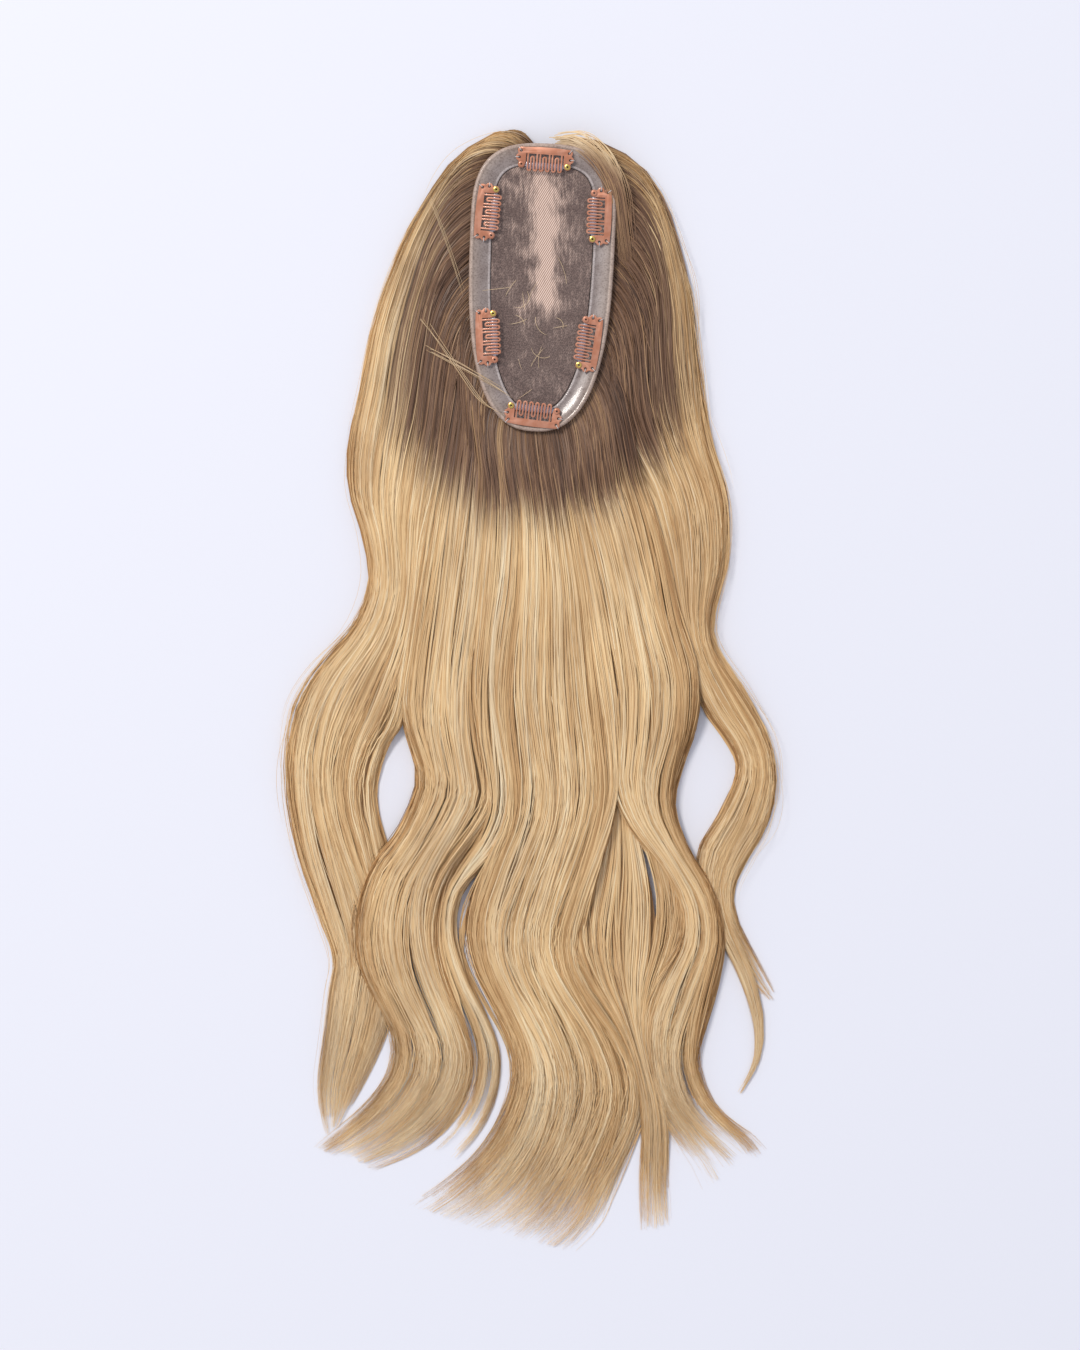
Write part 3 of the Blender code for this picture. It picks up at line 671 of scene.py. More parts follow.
class Course:
    """The way that a lock takes: its two edges, its depths, and how free its edges are."""

    def __init__(self, table, free_from):
        columns = dict(zip(LOCK_COLUMNS, np.array(table, float).T))
        left = from_pixels(np.stack([columns["left_x"], columns["left_y"]], -1))
        right = from_pixels(np.stack([columns["right_x"], columns["right_y"]], -1))
        depths = np.stack([columns["low"], columns["high"]], -1) / 100
        free_left = smoothstep((columns["left_y"] - free_from[0]) / OPENING)
        free_right = smoothstep((columns["right_y"] - free_from[1]) / OPENING)
        self.rows = np.hstack([left, right, depths, free_left[:, None], free_right[:, None]])
        steps = np.linalg.norm(np.diff((left + right) / 2, axis=0), axis=1)
        self.marks = np.concatenate([[0], np.cumsum(steps)])
        self.length = self.marks[-1]
        self.widest = np.linalg.norm(left - right, axis=1).max()

    def at(self, distance):
        """The row of values at each distance along the middle."""
        index = np.interp(distance, self.marks, np.arange(len(self.marks)))
        return along_rows(self.rows, index)

    def line(self, distance, share):
        """Points between the two edges, at a share of the way from left to right."""
        found = self.at(distance)
        return found[..., 0:2] + (found[..., 2:4] - found[..., 0:2]) * np.asarray(share)[..., None]


def depth_at(y):
    """Full depth of the hair: pressed flat under the base, thicker behind it."""
    back = BASE_MIDDLE[1] - BASE_LENGTH / 2
    return BED_DEPTH + smoothstep((back - y) / LOCK_RISE_LENGTH) * (HAIR_DEPTH - BED_DEPTH)


def outline_point(turns):
    """Points of the base's outer edge in the world, at parts of a turn from its right side."""
    angle = np.asarray(turns) * TURN
    across, along = np.cos(angle), np.sin(angle)
    roundness = np.where(along > 0, FRONT_ROUNDNESS, BACK_ROUNDNESS)
    reach = np.where(along > 0, WIDEST_SHARE, WIDEST_SHARE - 1) * BASE_LENGTH
    x = np.sign(across) * BASE_WIDTH / 2 * np.abs(across) ** (2 * roundness)
    y = (0.5 - WIDEST_SHARE) * BASE_LENGTH + reach * np.abs(along) ** (2 / OUTLINE_POWER)
    return to_world(np.stack([x, y], -1))


def to_world(points):
    """The base's own plane to the world's."""
    cos, sin = math.cos(BASE_TURN), math.sin(BASE_TURN)
    return points @ np.array([[cos, sin], [-sin, cos]]) + BASE_MIDDLE


class Strands:
    """Ribbons gathered for one piece, each a row of points with a side vector."""

    def __init__(self):
        self.points, self.sides, self.tones, self.grown = [], [], [], []

    def add(self, points, roll, width, tone, grown):
        """Points is strands by samples by 3. Roll turns each ribbon about its own line."""
        tangent = np.gradient(points, axis=1)
        tangent /= np.linalg.norm(tangent, axis=-1, keepdims=True) + 1e-12
        level = np.stack([-tangent[..., 1], tangent[..., 0], np.zeros(tangent.shape[:-1])], -1)
        level /= np.linalg.norm(level, axis=-1, keepdims=True) + 1e-12
        up = np.cross(tangent, level)
        side = level * np.cos(roll)[..., None] + up * np.sin(roll)[..., None]
        samples = points.shape[1]
        taper = smoothstep((1 - np.linspace(0, 1, samples)) / 0.25) * 0.85 + 0.15
        self.points.append(points)
        self.sides.append(side * (width[:, None] * taper / 2)[..., None])
        self.tones.append(np.broadcast_to(tone, points.shape[:2]))
        self.grown.append(np.broadcast_to(grown, points.shape[:2]))

    def finish(self, name, finish, nodes=()):
        corners, faces, tones, grown, maps, start = [], [], [], [], [], 0
        total = sum(len(p) for p in self.points)
        done = 0
        for points, side, tone, grow in zip(self.points, self.sides, self.tones, self.grown):
            count, samples = points.shape[:2]
            pair = np.stack([points - side, points + side], 2)
            corners.append(pair.reshape(-1, 3))
            tones.append(np.repeat(tone.reshape(-1), 2))
            grown.append(np.repeat(grow.reshape(-1), 2))
            strip = grid_faces(samples, 2)
            offset = start + np.arange(count)[:, None, None] * samples * 2
            faces.append((strip[None] + offset).reshape(-1, 4))
            row = (done + np.arange(count)[:, None, None] + np.array([0.1, 0.9])) / total
            along = np.linspace(0.002, 0.998, samples)[None, :, None]
            shape = (count, samples, 2)
            spread = [np.broadcast_to(along, shape), np.broadcast_to(row, shape)]
            maps.append(np.stack(spread, -1).reshape(-1, 2))
            start += count * samples * 2
            done += count
        faces = np.concatenate(faces)
        values = {"tone": np.concatenate(tones), "grown": np.concatenate(grown)}
        piece = add_piece(name, np.concatenate(corners), faces, finish, nodes, True, values)
        layer = piece.data.uv_layers.new(name="OFBake")
        layer.uv.foreach_set("vector", np.concatenate(maps)[faces.ravel()].astype(np.float32).ravel())
        return piece


ROOT_STEPS = np.linspace(0, 1, ROOT_SAMPLES + 1)[None, :-1]


def clumped(shares, count, rng):
    """The clump of each share, its middle, and each share's place in it from -1 to 1."""
    sizes = rng.uniform(0.5, 1.5, count)
    bounds = np.concatenate([[0], np.cumsum(sizes)]) / sizes.sum()
    mine = np.clip(np.searchsorted(bounds, shares) - 1, 0, count - 1)
    middle = (bounds[mine] + bounds[mine + 1]) / 2
    return mine, middle, (shares - middle) / (bounds[mine + 1] - bounds[mine]) * 2


def arc_points(arc, shares):
    """Points of the base's edge at even distances between two turns, and the turns."""
    turns = np.linspace(arc[0], arc[1], 200)
    edge = outline_point(turns)
    length = np.concatenate([[0], np.cumsum(np.linalg.norm(np.diff(edge, axis=0), axis=1))])
    found = np.interp(np.clip(shares, 0, 1) * length[-1], length, turns)
    return outline_point(found), found


def outward_at(turns):
    """Unit vectors that point straight out from the base's edge."""
    ahead = outline_point(turns + 0.002) - outline_point(turns - 0.002)
    normal = np.stack([ahead[..., 1], -ahead[..., 0]], -1)
    return normal / np.linalg.norm(normal, axis=-1, keepdims=True)


def unit(vectors):
    return vectors / (np.linalg.norm(vectors, axis=-1, keepdims=True) + 1e-12)


def past_roots(points):
    """How far each point is past the dark roots, and how far the fade is there."""
    cos, sin = math.cos(BASE_TURN), math.sin(BASE_TURN)
    local = (points[..., 0:2] - BASE_MIDDLE) @ np.array([[cos, -sin], [sin, cos]])
    on_spine = np.clip(local[..., 1], *SPINE)
    out = np.hypot(local[..., 0], local[..., 1] - on_spine) - SPINE_REACH
    dark = np.interp(local[..., 1], HALO_ALONG, HALO_DARK)
    return out - dark, np.interp(local[..., 1], HALO_ALONG, HALO_FADE)


def sway(rng, owners, slow, fast, along):
    """A sine along each strand, with a beat and a phase that the strands of an owner share."""
    total = owners.max() + 1
    beat = rng.uniform(slow, fast, total)[owners][:, None]
    phase = rng.uniform(0, TURN, total)[owners][:, None]
    return np.sin(TURN * along * beat + phase)


class Lock:
    """The strands of one lock, or the broad strips under them, from the base to their tips."""

    def __init__(self, course, arc, count, rng, under):
        self.course, self.count, self.rng, self.under = course, count, rng, under
        self.share = (rng.permutation(count) + rng.uniform(0, 1, count)) / count
        small_clumps = max(4, round(course.widest / SMALL_CLUMP))
        big_clumps = max(2, round(course.widest / BIG_CLUMP))
        self.small, self.small_middle, self.small_place = clumped(self.share, small_clumps, rng)
        self.big, self.big_middle, self.big_place = clumped(self.share, big_clumps, rng)
        self.small_count, self.big_count = self.small.max() + 1, self.big.max() + 1
        self.layer = rng.uniform(*UNDER_LAYERS, count) if under else rng.uniform(0, 1, count) ** 0.45
        self.take_root(arc)
        self.take_length()

    def take_root(self, arc):
        """Where each strand leaves the base, and where it joins the lock's course."""
        course, count, rng, share = self.course, self.count, self.rng, self.share
        edge, turns = arc_points(arc, share + rng.normal(0, ROOT_STRAY, count))
        self.outward = outward_at(turns)
        self.root = edge - self.outward * rng.uniform(*ROOT_INSET, count)[:, None]
        marks = np.linspace(0, course.length * 0.6, 240)
        lines = course.line(marks[None, :], np.broadcast_to(share[:, None], (count, len(marks))))
        nearest = marks[np.argmin(np.linalg.norm(lines - self.root[:, None], axis=-1), axis=1)]
        beside = smoothstep(np.abs(turns - FRONT_TURN) / 0.15)
        reach = FRONT_REACH + (SIDE_REACH - FRONT_REACH) * beside
        self.join = nearest + reach * rng.uniform(*REACH_SPREAD, count)
        self.gap = np.linalg.norm(course.line(self.join, share) - self.root, axis=-1) * 1.05

    def take_length(self):
        """How far down the course each strand ends, and how far down its points are."""
        count, rng, length = self.count, self.rng, self.course.length
        early = CLUMP_ENDS * rng.uniform(0, 1, self.small_count)[self.small] ** 1.5
        end = length * (1 - early - STRAND_ENDS * rng.uniform(0, 1, count) ** 2)
        if self.under:
            end = length * rng.uniform(*UNDER_ENDS, count)
        else:
            short = rng.uniform(0, 1, count) < SHORT_STRANDS
            end = np.where(short, end * rng.uniform(*SHORT_ENDS, count), end)
        first = (self.join - self.gap)[:, None] + self.gap[:, None] * ROOT_STEPS
        rest = self.join[:, None] + (end - self.join)[:, None] * np.linspace(0, 1, FALL_SAMPLES)[None, :]
        self.distance = np.concatenate([first, rest], axis=1)
        self.u = np.linspace(0, 1, self.distance.shape[1])[None, :]
        self.t = np.clip(self.distance / length, 0, 1)

    def shares(self):
        """How far across the lock each point is, as its clumps gather and sway."""
        count, rng, t = self.count, self.rng, self.t
        gather = SMALL_GATHER[0] + SMALL_GATHER[1] * smoothstep((t - 0.1) / 0.9)
        s = self.share[:, None] + (self.small_middle - self.share)[:, None] * gather
        s = s + (self.big_middle[:, None] - s) * BIG_GATHER * smoothstep((t - 0.35) / 0.6)
        free = smoothstep(t * 2)
        s = s + BIG_SWAY / self.big_count * sway(rng, self.big, 1.5, 3.0, t) * free
        s = s + SMALL_SWAY / self.small_count * sway(rng, self.small, 1.5, 4.0, t) * free
        roams = rng.uniform(0, 1, count) < ROAMING_STRANDS
        roam = np.where(roams, rng.normal(0, ROAM[1], count), rng.normal(0, ROAM[0], count))
        s = s + roam[:, None] * np.sin(TURN * t * rng.uniform(0.4, 1.4, count)[:, None]) * free
        return s + rng.normal(0, TIP_SPREAD, count)[:, None] * smoothstep((self.u - 0.72) / 0.28) ** 2

    def root_curve(self, shares):
        """Points from the root to where the strand joins the course, smooth at both ends."""
        joined = self.course.line(self.join, shares)
        flow = unit(self.course.line(self.join + 3 * MM, shares) - joined)
        leave = unit(self.outward + unit(joined - self.root))
        h = ROOT_STEPS[..., None]
        pull = self.gap[:, None, None]
        return (
            (2 * h**3 - 3 * h**2 + 1) * self.root[:, None]
            + (h**3 - 2 * h**2 + h) * pull * leave[:, None]
            + (3 * h**2 - 2 * h**3) * joined[:, None]
            + (h**3 - h**2) * pull * flow[:, None]
        )

    def heights(self, y, row, edge, side):
        """Height of each point: domed towards free edges, and rounded over each clump."""
        layer = self.layer[:, None]
        dome = 1 - side * (1 - np.sqrt(np.clip(1 - np.abs(edge) ** 3, 0.02, 1)))
        low, high = row[..., 4], row[..., 5]
        relief = BIG_RELIEF * (np.sqrt(1 - self.big_place**2 * 0.9) - 0.7)[:, None] * self.loosened
        relief = relief + SMALL_RELIEF * (0.5 - self.small_place**2)[:, None]
        z = depth_at(y) * (low + (high - low) * dome * (0.25 + 0.75 * layer)) + relief * (high - low)
        risen = smoothstep(ROOT_STEPS)
        start = BED_DEPTH * (0.45 + 0.5 * layer)
        hump = ROOT_HUMP * layer * np.sin(math.pi * risen)
        z[:, :ROOT_SAMPLES] = start + (z[:, ROOT_SAMPLES : ROOT_SAMPLES + 1] - start) * risen + hump
        return np.maximum(z, LOWEST)

    def tones(self):
        count, rng = self.count, self.rng
        tone = 0.50 + rng.normal(0, BIG_TONE, self.big_count)[self.big]
        tone = tone + rng.normal(0, SMALL_TONE, self.small_count)[self.small]
        # painted shade: strands that lie lower are darker, the topmost a little lighter
        tone = tone + rng.normal(0, STRAND_TONE, count) + LOW_LAYER_SHADE * (self.layer - 0.7)
        # painted sheen in bands along each strand
        tone = tone[:, None] + SHEEN_BAND_TONE * sway(rng, self.small, 0.6, 1.4, self.distance / SHEEN_BAND_LENGTH)
        # tips lighter: partly paler colour, partly painted light shining through them
        return tone + TIP_PALENESS_AND_LIGHT * smoothstep((self.u - 0.75) / 0.25)

    def add_to(self, strands):
        count, rng = self.count, self.rng
        self.loosened = 0.25 + 0.75 * smoothstep((self.t - 0.25) / 0.5)
        s = self.shares()
        row = self.course.at(self.distance)
        side = np.where(s < 0.5, row[..., 6], row[..., 7])
        s = 0.5 + (s - 0.5) * (1.0 + SHARED_OVERLAP * (1 - side))
        s = np.clip(s, -PAST_EDGE, 1 + PAST_EDGE)
        flat = row[..., 0:2] + (row[..., 2:4] - row[..., 0:2]) * s[..., None]
        flat[:, :ROOT_SAMPLES] = self.root_curve(s[:, ROOT_SAMPLES])
        edge = 2 * np.clip(s, 0, 1) - 1
        z = self.heights(flat[..., 1], row, edge, side)
        for axis in range(2):
            shake = FRIZZ * sway(rng, np.arange(count), 0.7, 1.8, self.distance / FRIZZ_LENGTH)
            flat[..., axis] += shake * rng.uniform(0.1, 1, count)[:, None] * smoothstep(self.u * 8)
        points = np.concatenate([flat, z[..., None]], -1)
        roll = BIG_ROLL * self.big_place[:, None] * self.loosened + SMALL_ROLL * self.small_place[:, None]
        roll = roll + EDGE_ROLL * edge**3 * side + rng.normal(0, 1, count)[:, None] * LOOSE_ROLL
        tone = self.tones()
        past, fade = past_roots(points)
        late = rng.normal(0, HALO_STRAY[0], count)
        late = late + rng.normal(0, HALO_STRAY[1], self.small_count)[self.small]
        width = rng.uniform(*(UNDER_WIDTH if self.under else STRAND_WIDTH), count)
        if self.under:
            roll = roll * 0.2
            # painted shade: the strips under the strands are darker
            tone = tone + UNDER_STRIP_SHADE
        strands.add(points, roll, width, np.clip(tone, 0.02, 0.98), (past + late[:, None]) / fade)


def through(way, count):
    """Points along a smooth curve through a few (x, y, z) places in metres."""
    return along_rows(way, np.linspace(0, len(way) - 1, count))


def placed(way):
    """World points of places given in pixels across and down, and millimetres up."""
    way = np.array(way, float)
    return np.column_stack([from_pixels(way[:, 0:2]), way[:, 2] * MM])


def wisps(strands, rng):
    """Loose hairs that lie over the rim and the panel."""
    samples = 22
    for count, spread, way in WISPS:
        line = through(placed(way), samples)
        aside = rng.normal(0, spread, (count, 1, 2))
        u = np.linspace(0, 1, samples)[None, :, None]
        bow = rng.normal(0, spread * 0.5, (count, 1, 2))
        bow = bow * np.sin(math.pi * u * rng.uniform(0.5, 1.5, (count, 1, 1)))
        points = np.repeat(line[None], count, axis=0)
        points[..., 0:2] += aside + bow
        points[..., 2] += rng.uniform(0, 0.5, (count, 1)) * MM
        tone = rng.uniform(0.55, 0.95, count)[:, None]
        past, fade = past_roots(points)
        few = count < FEW_HAIRS
        grown = np.clip(past / fade, 0.55, 1) if few else past / fade + 0.3
        width = rng.uniform(0.16, 0.26, count) * MM if few else rng.uniform(0.25, 0.5, count) * MM
        strands.add(points, np.zeros(points.shape[:2]), width, tone, grown)
    middle = np.array(BASE_MIDDLE)
    start = [rng.uniform(-17, 17, PANEL_HAIRS), rng.uniform(-52, 10, PANEL_HAIRS)]
    start = middle + np.column_stack(start) * MM
    heading = rng.uniform(0, TURN, PANEL_HAIRS)
    bend = rng.normal(0, 1.2, PANEL_HAIRS)
    u = np.linspace(0, 1, samples)
    length = rng.uniform(6, 16, PANEL_HAIRS) * MM
    angle = heading[:, None] + bend[:, None] * u[None, :]
    step = np.stack([np.cos(angle), np.sin(angle)], -1) * (length / samples)[:, None, None]
    flat = start[:, None] + np.cumsum(step, axis=1)
    z = PANEL_TOP + 1.1 * MM + 0.4 * MM * np.sin(math.pi * u)[None, :] * np.ones((PANEL_HAIRS, 1))
    points = np.concatenate([flat, z[..., None]], -1)
    width = rng.uniform(0.10, 0.16, PANEL_HAIRS) * MM
    strands.add(points, np.zeros(z.shape), width, np.full(z.shape, 0.8), np.full(z.shape, 0.9))


def flyaways(strands, edges, count, rng):
    """Single loose hairs that stand off the outer edges of the hair."""
    samples = 24
    for course, on_left in edges:
        start = rng.uniform(0.02, 0.75, count) * course.length
        span = rng.uniform(0.08, 0.28, count) * course.length
        u = np.linspace(0, 1, samples)[None, :]
        distance = np.minimum(start[:, None] + span[:, None] * u, course.length)
        row = course.at(distance)
        left, right = row[..., 0:2], row[..., 2:4]
        edge, other = (left, right) if on_left else (right, left)
        outward = unit(edge - other)
        peak = np.abs(rng.normal(0, 3.2, count))[:, None] * MM
        reach = peak * np.sin(u * math.pi * rng.uniform(0.5, 1.0, count)[:, None])
        flat = edge + outward * (reach - 1.2 * MM)[..., None]
        z = np.full(distance.shape, 3 * MM) + 2 * MM * np.sin(u * math.pi)
        points = np.concatenate([flat, z[..., None]], -1)
        tone = rng.uniform(0.3, 0.7, count)[:, None]
        past, fade = past_roots(points)
        width = rng.uniform(0.10, 0.17, count) * MM
        strands.add(points, np.zeros(distance.shape), width, tone, past / fade + 0.4)


def build_hair():
    rng = np.random.default_rng(SEED)
    finish = hair_material()
    thin = 1.0
    courses = {name: Course(table, FREE_FROM[name]) for name, table in LOCKS.items()}
    for name, course in courses.items():
        strands = Strands()
        count = int(STRAND_COUNTS[name] * thin)
        arc = ROOT_ARCS[name]
        Lock(course, arc, round(course.widest / UNDER_PITCH), rng, True).add_to(strands)
        if name == "hair_outer_right":
            forked = int(count * FORKED_SHARE)
            rows = [row for row in LOCKS[name] if row[1] < FORKED_TIP[0][1]] + list(FORKED_TIP)
            Lock(course, arc, count - forked, rng, False).add_to(strands)
            Lock(Course(rows, FREE_FROM[name]), arc, forked, rng, False).add_to(strands)
        else:
            Lock(course, arc, count, rng, False).add_to(strands)
        strands.finish(name + "_strands", finish, (name,))
    loose = Strands()
    edges = ((courses["hair_outer_left"], True), (courses["hair_outer_right"], False))
    flyaways(loose, edges, int(60 * thin), rng)
    wisps(loose, rng)
    loose.finish("hair_loose_strands", finish)


# Base


def even_outline(count):
    """World points evenly round the base's outer edge, with inward normals."""
    dense = outline_point(np.arange(count * 16 + 1) / (count * 16))
    length = np.concatenate([[0], np.cumsum(np.linalg.norm(np.diff(dense, axis=0), axis=1))])
    at = np.arange(count) / count * length[-1]
    points = np.stack([np.interp(at, length, dense[:, k]) for k in (0, 1)], -1)
    along = np.roll(points, -1, axis=0) - np.roll(points, 1, axis=0)
    normals = np.stack([-along[:, 1], along[:, 0]], -1)
    return points, normals / np.linalg.norm(normals, axis=1)[:, None]


# The rim's upper side, from its inner edge to its outer lip: shares of its width, and
# heights as shares of its crest over its inner edge
RIM_PROFILE = (
    (0.0, -0.25),
    (0.02, 0.02),
    (0.07, 0.10),
    (0.12, 0.04),
    (0.20, 0.05),
    (0.35, 0.22),
    (0.52, 0.62),
    (0.66, 0.90),
    (0.76, 0.96),
    (0.80, 0.90),
    (0.84, 1.06),
    (0.90, 1.16),
    (0.96, 0.92),
    (1.0, 0.40),
)
LIP_THINNING = 0.7


def build_rim():
    """The skin ring, with a double inner edge and a rolled lip."""
    points, normals = even_outline(240)
    under = []
    for across, height in RIM_PROFILE:
        thinned = LIP_THINNING if across in (0.0, 1.0) else 1
        under.append((across, height - RIM_THICKNESS / RIM_CREST * thinned))
    rows, values = [], []
    for across, height in list(RIM_PROFILE) + under[::-1]:
        flat = points + normals * (1 - across) * RIM_WIDTH
        z = np.full(len(points), RIM_INNER_TOP + height * RIM_CREST)
        rows.append(np.column_stack([flat, z]))
        values.append(np.full(len(points), across))
    rows.append(rows[0])
    values.append(values[0])
    faces = grid_faces(len(rows), len(points), around=True)
    across = {"across": np.concatenate(values)}
    add_piece("rim", np.concatenate(rows), faces, rim_material(), ("base_rim",), True, across)


# Parting: places along its middle in the photograph's pixels, its half width and how much
# of it shows there. The last two split off to its left and its right.
PARTING = (
    (
        (536, 160, 30, 0.42),
        (541, 190, 34, 0.45),
        (544, 225, 32, 0.42),
        (545, 270, 26, 0.36),
        (545, 310, 22, 0.2),
        (546, 335, 14, 0.0),
    ),
    (
        (539, 160, 11, 0.35),
        (543, 190, 13, 0.6),
        (546, 220, 12, 0.75),
        (546, 262, 9, 0.8),
        (546, 300, 8, 0.6),
        (547, 330, 5, 0.0),
    ),
    ((544, 278, 8, 0.3), (533, 300, 8, 0.38), (520, 316, 9, 0.25), (508, 328, 7, 0.0)),
    ((547, 282, 8, 0.3), (554, 302, 8, 0.38), (562, 318, 7, 0.0)),
)


def parting_at(flat):
    """How much of the pale parting shows at each point."""
    x = ORIGIN_PIXEL[0] + flat[..., 0] / PIXEL
    y = ORIGIN_PIXEL[1] - flat[..., 1] / PIXEL
    found = np.zeros(flat.shape[:-1])
    for line in PARTING:
        across, down, half, shown = np.array(line, float).T
        middle = np.interp(y, down, across)
        inside = smoothstep((y - down[0]) / 14 + 0.5)
        strength = np.interp(y, down, shown) * inside
        found = found + strength * np.exp(-(((x - middle) / np.interp(y, down, half)) ** 2))
    return np.clip(found, 0, 1.2)


def build_panel():
    points, normals = even_outline(200)
    edge = points + normals * (RIM_WIDTH + CLEARANCE)
    centre = np.array(BASE_MIDDLE)
    rows, values = [], []
    for share in np.linspace(1, 0, 64):
        flat = centre + (edge - centre) * share
        z = np.full(len(points), PANEL_TOP + PANEL_DIP * share * share)
        rows.append(np.column_stack([flat, z]))
        values.append(parting_at(flat))
    faces = grid_faces(len(rows), len(points), around=True)
    rim_under = np.column_stack([edge, np.full(len(points), PANEL_TOP + PANEL_DIP - PANEL_THICKNESS)])
    count = len(rows) * len(points)
    skirt = grid_faces(2, len(points), around=True)
    skirt = np.where(skirt < len(points), skirt + count, skirt - len(points))
    rows.append(rim_under)
    values.append(np.zeros(len(points)))
    panel = add_piece(
        "panel",
        np.concatenate(rows),
        np.concatenate([faces, skirt]),
        panel_material(),
        ("base_panel",),
        True,
        {"parting": np.concatenate(values)},
    )
    bm = bmesh.new()
    bm.from_mesh(panel.data)
    bmesh.ops.remove_doubles(bm, verts=bm.verts[:], dist=0.001 * MM)
    bm.to_mesh(panel.data)
    bm.free()


# Clips

CLIP_NAMES = (
    "clip_front",
    "clip_left_front",
    "clip_left_back",
    "clip_back",
    "clip_right_back",
    "clip_right_front",
)


def softened(node, finish, edge):
    """A copy of a frame node with its sharp edges rounded, standing for it."""
    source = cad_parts[node]
    bm = bmesh.new()
    bm.from_mesh(source.data)
    bmesh.ops.remove_doubles(bm, verts=bm.verts[:], dist=0.002 * MM)
    bmesh.ops.dissolve_limit(bm, angle_limit=math.radians(1), verts=bm.verts[:], edges=bm.edges[:])
    mesh = bpy.data.meshes.new(node + "_finished")
    bm.to_mesh(mesh)
    bm.free()
    mesh.materials.clear()
    mesh.materials.append(finish)
    mesh.shade_smooth()
    piece = bpy.data.objects.new(node + "_finished", mesh)
    bpy.context.scene.collection.objects.link(piece)
    rounded = piece.modifiers.new("edges", "BEVEL")
    rounded.width = edge
    rounded.segments = 2
    rounded.limit_method = "ANGLE"
    rounded.angle_limit = math.radians(40)
    rounded.harden_normals = True
    return claim(piece, (node,))


def tube(points, radius, sides):
    """Corners and faces of a thin round tube along a few points."""
    points = np.asarray(points, float)
    tangent = np.gradient(points, axis=0)
    tangent /= np.linalg.norm(tangent, axis=1)[:, None]
    across = np.cross(tangent, np.array([0.3, 0.2, 1.0]))
    across /= np.linalg.norm(across, axis=1)[:, None]
    over = np.cross(tangent, across)
    angle = np.arange(sides) / sides * TURN
    ring = across[:, None] * np.cos(angle)[None, :, None] + over[:, None] * np.sin(angle)[None, :, None]
    return (points[:, None] + ring * radius).reshape(-1, 3), grid_faces(len(points), sides, around=True)


# Sewing holes in a clip's own frame: along from its middle, and across from its outer edge
SEWING_HOLES = ((11.65 * MM, 2.0 * MM), (12.4 * MM, 5.25 * MM))
THREAD_RADIUS = 0.16 * MM
THREAD_REACH = 2.1 * MM
# A stitch's arch, from its hole: shares of its reach, and heights in millimetres
THREAD_ARCH = ((0.0, -0.5), (0.15, 0.15), (0.5, 0.28), (0.85, 0.1), (1.0, -0.5))
THREAD_DROP = 0.7 * MM
EYELETS_FROM_RAIL = 8.65 * MM


def clip_axes(name):
    """A clip's middle at its rail, its directions along the rail and inwards, and its top."""
    low = {}
    for label in ("brass", "painted"):
        a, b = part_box(f"{name}_eyelet_{label}")
        low[label] = (np.array(a) + np.array(b)) / 2
    plate_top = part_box(name + "_plate")[1][2]
    along = low["painted"] - low["brass"]
    along[2] = 0
    along /= np.linalg.norm(along)
    inward = np.array([-along[1], along[0], 0])
    middle = (low["painted"] + low["brass"]) / 2
    return middle - inward * EYELETS_FROM_RAIL, along, inward, plate_top


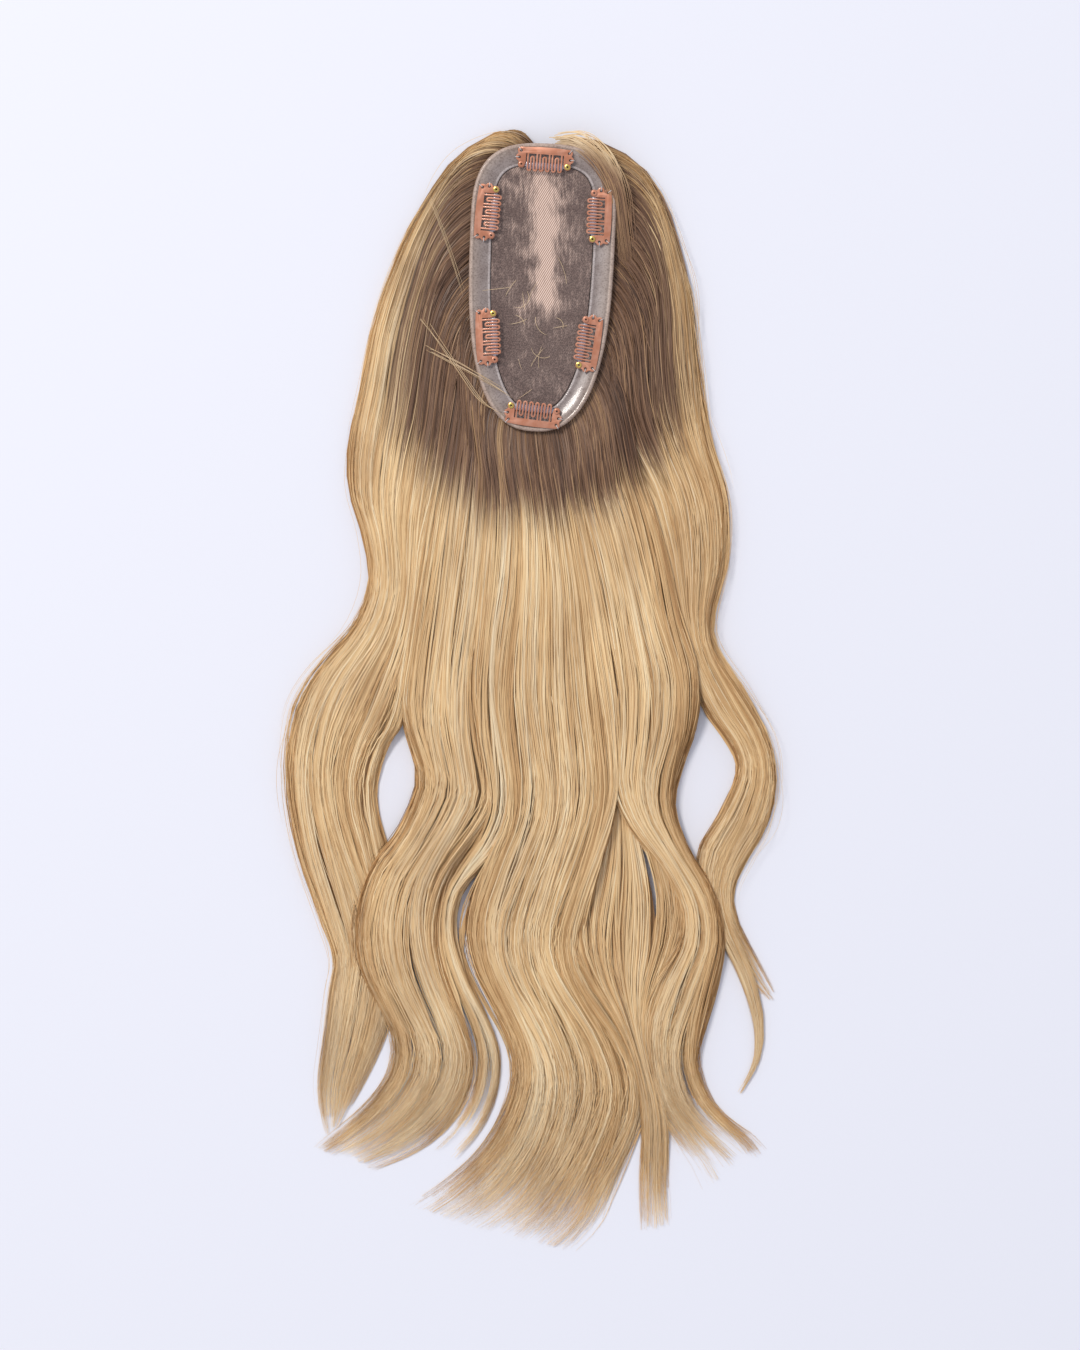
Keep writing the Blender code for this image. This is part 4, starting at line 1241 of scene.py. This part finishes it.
def build_clips():
    enamel = metal_material("tan_enamel", "bd7b5c", 0.36, 0.25, 0.18)
    steel = metal_material("steel", "b4b4b8", 0.30, 1.0, 0.0)
    brass = metal_material("brass", "dcbf68", 0.24, 1.0, 0.0)
    clear = grip_material()
    cotton = thread_material()
    for name in CLIP_NAMES:
        softened(name + "_plate", enamel, 0.14 * MM)
        softened(name + "_bar", steel, 0.08 * MM)
        softened(name + "_grip", clear, 0.10 * MM)
        softened(name + "_eyelet_brass", brass, 0.06 * MM)
        softened(name + "_eyelet_painted", enamel, 0.06 * MM)
        rail, along, inward, top = clip_axes(name)
        corners, faces, start = [], [], 0
        for side in (-1, 1):
            for u, v in SEWING_HOLES:
                hole = rail + along * side * u + inward * v
                out = along * side if v > 4 * MM else -inward * 0.8 + along * side * 0.6
                out = out / np.linalg.norm(out)
                path = []
                for reach, z in THREAD_ARCH:
                    spot = hole + out * THREAD_REACH * reach
                    path.append((spot[0], spot[1], top - THREAD_DROP + z * MM))
                piece_points, piece_faces = tube(path, THREAD_RADIUS, 6)
                corners.append(piece_points)
                faces.append(piece_faces + start)
                start += len(piece_points)
        add_piece(name + "_thread", np.concatenate(corners), np.concatenate(faces), cotton)


# Stage


def build_stage():
    scene = bpy.context.scene
    size = FLOOR_SIZE / 2
    mesh = bpy.data.meshes.new("table")
    corners = [(x * size, y * size, -FLOOR_GAP) for x, y in ((-1, -1), (1, -1), (1, 1), (-1, 1))]
    mesh.from_pydata(corners, [], [(0, 1, 2, 3)])
    mesh.materials.append(floor_material())
    table = bpy.data.objects.new("table", mesh)
    scene.collection.objects.link(table)
    lamp = bpy.data.lights.new("key", "AREA")
    lamp.shape = "DISK"
    lamp.size = KEY_SIZE
    lamp.energy = KEY_POWER
    lamp.color = linear(KEY_COLOUR)
    key = bpy.data.objects.new("key", lamp)
    key.location = KEY_PLACE
    key.rotation_euler = (Vector(KEY_TARGET) - Vector(KEY_PLACE)).to_track_quat("-Z", "Y").to_euler()
    scene.collection.objects.link(key)
    world = bpy.data.worlds.new("sky")
    world.use_nodes = True
    sky = world.node_tree.nodes["Background"]
    sky.inputs["Color"].default_value = (*linear(SKY_COLOUR), 1)
    sky.inputs["Strength"].default_value = SKY_STRENGTH
    scene.world = world
    scene.view_settings.view_transform = "Standard"


def build_camera():
    lens = bpy.data.cameras.new("camera")
    lens.lens = LENS
    lens.sensor_fit = "VERTICAL"
    lens.sensor_height = SENSOR_HEIGHT
    centre = from_pixels((FRAME_PIXELS[0] / 2, FRAME_PIXELS[1] / 2))
    camera = bpy.data.objects.new("camera", lens)
    height = FRAME_PIXELS[1] * PIXEL * LENS / SENSOR_HEIGHT + BED_DEPTH
    camera.location = (centre[0], centre[1], height)
    bpy.context.scene.collection.objects.link(camera)
    bpy.context.scene.camera = camera


build_stage()
build_camera()
build_hair()
build_rim()
build_panel()
build_clips()
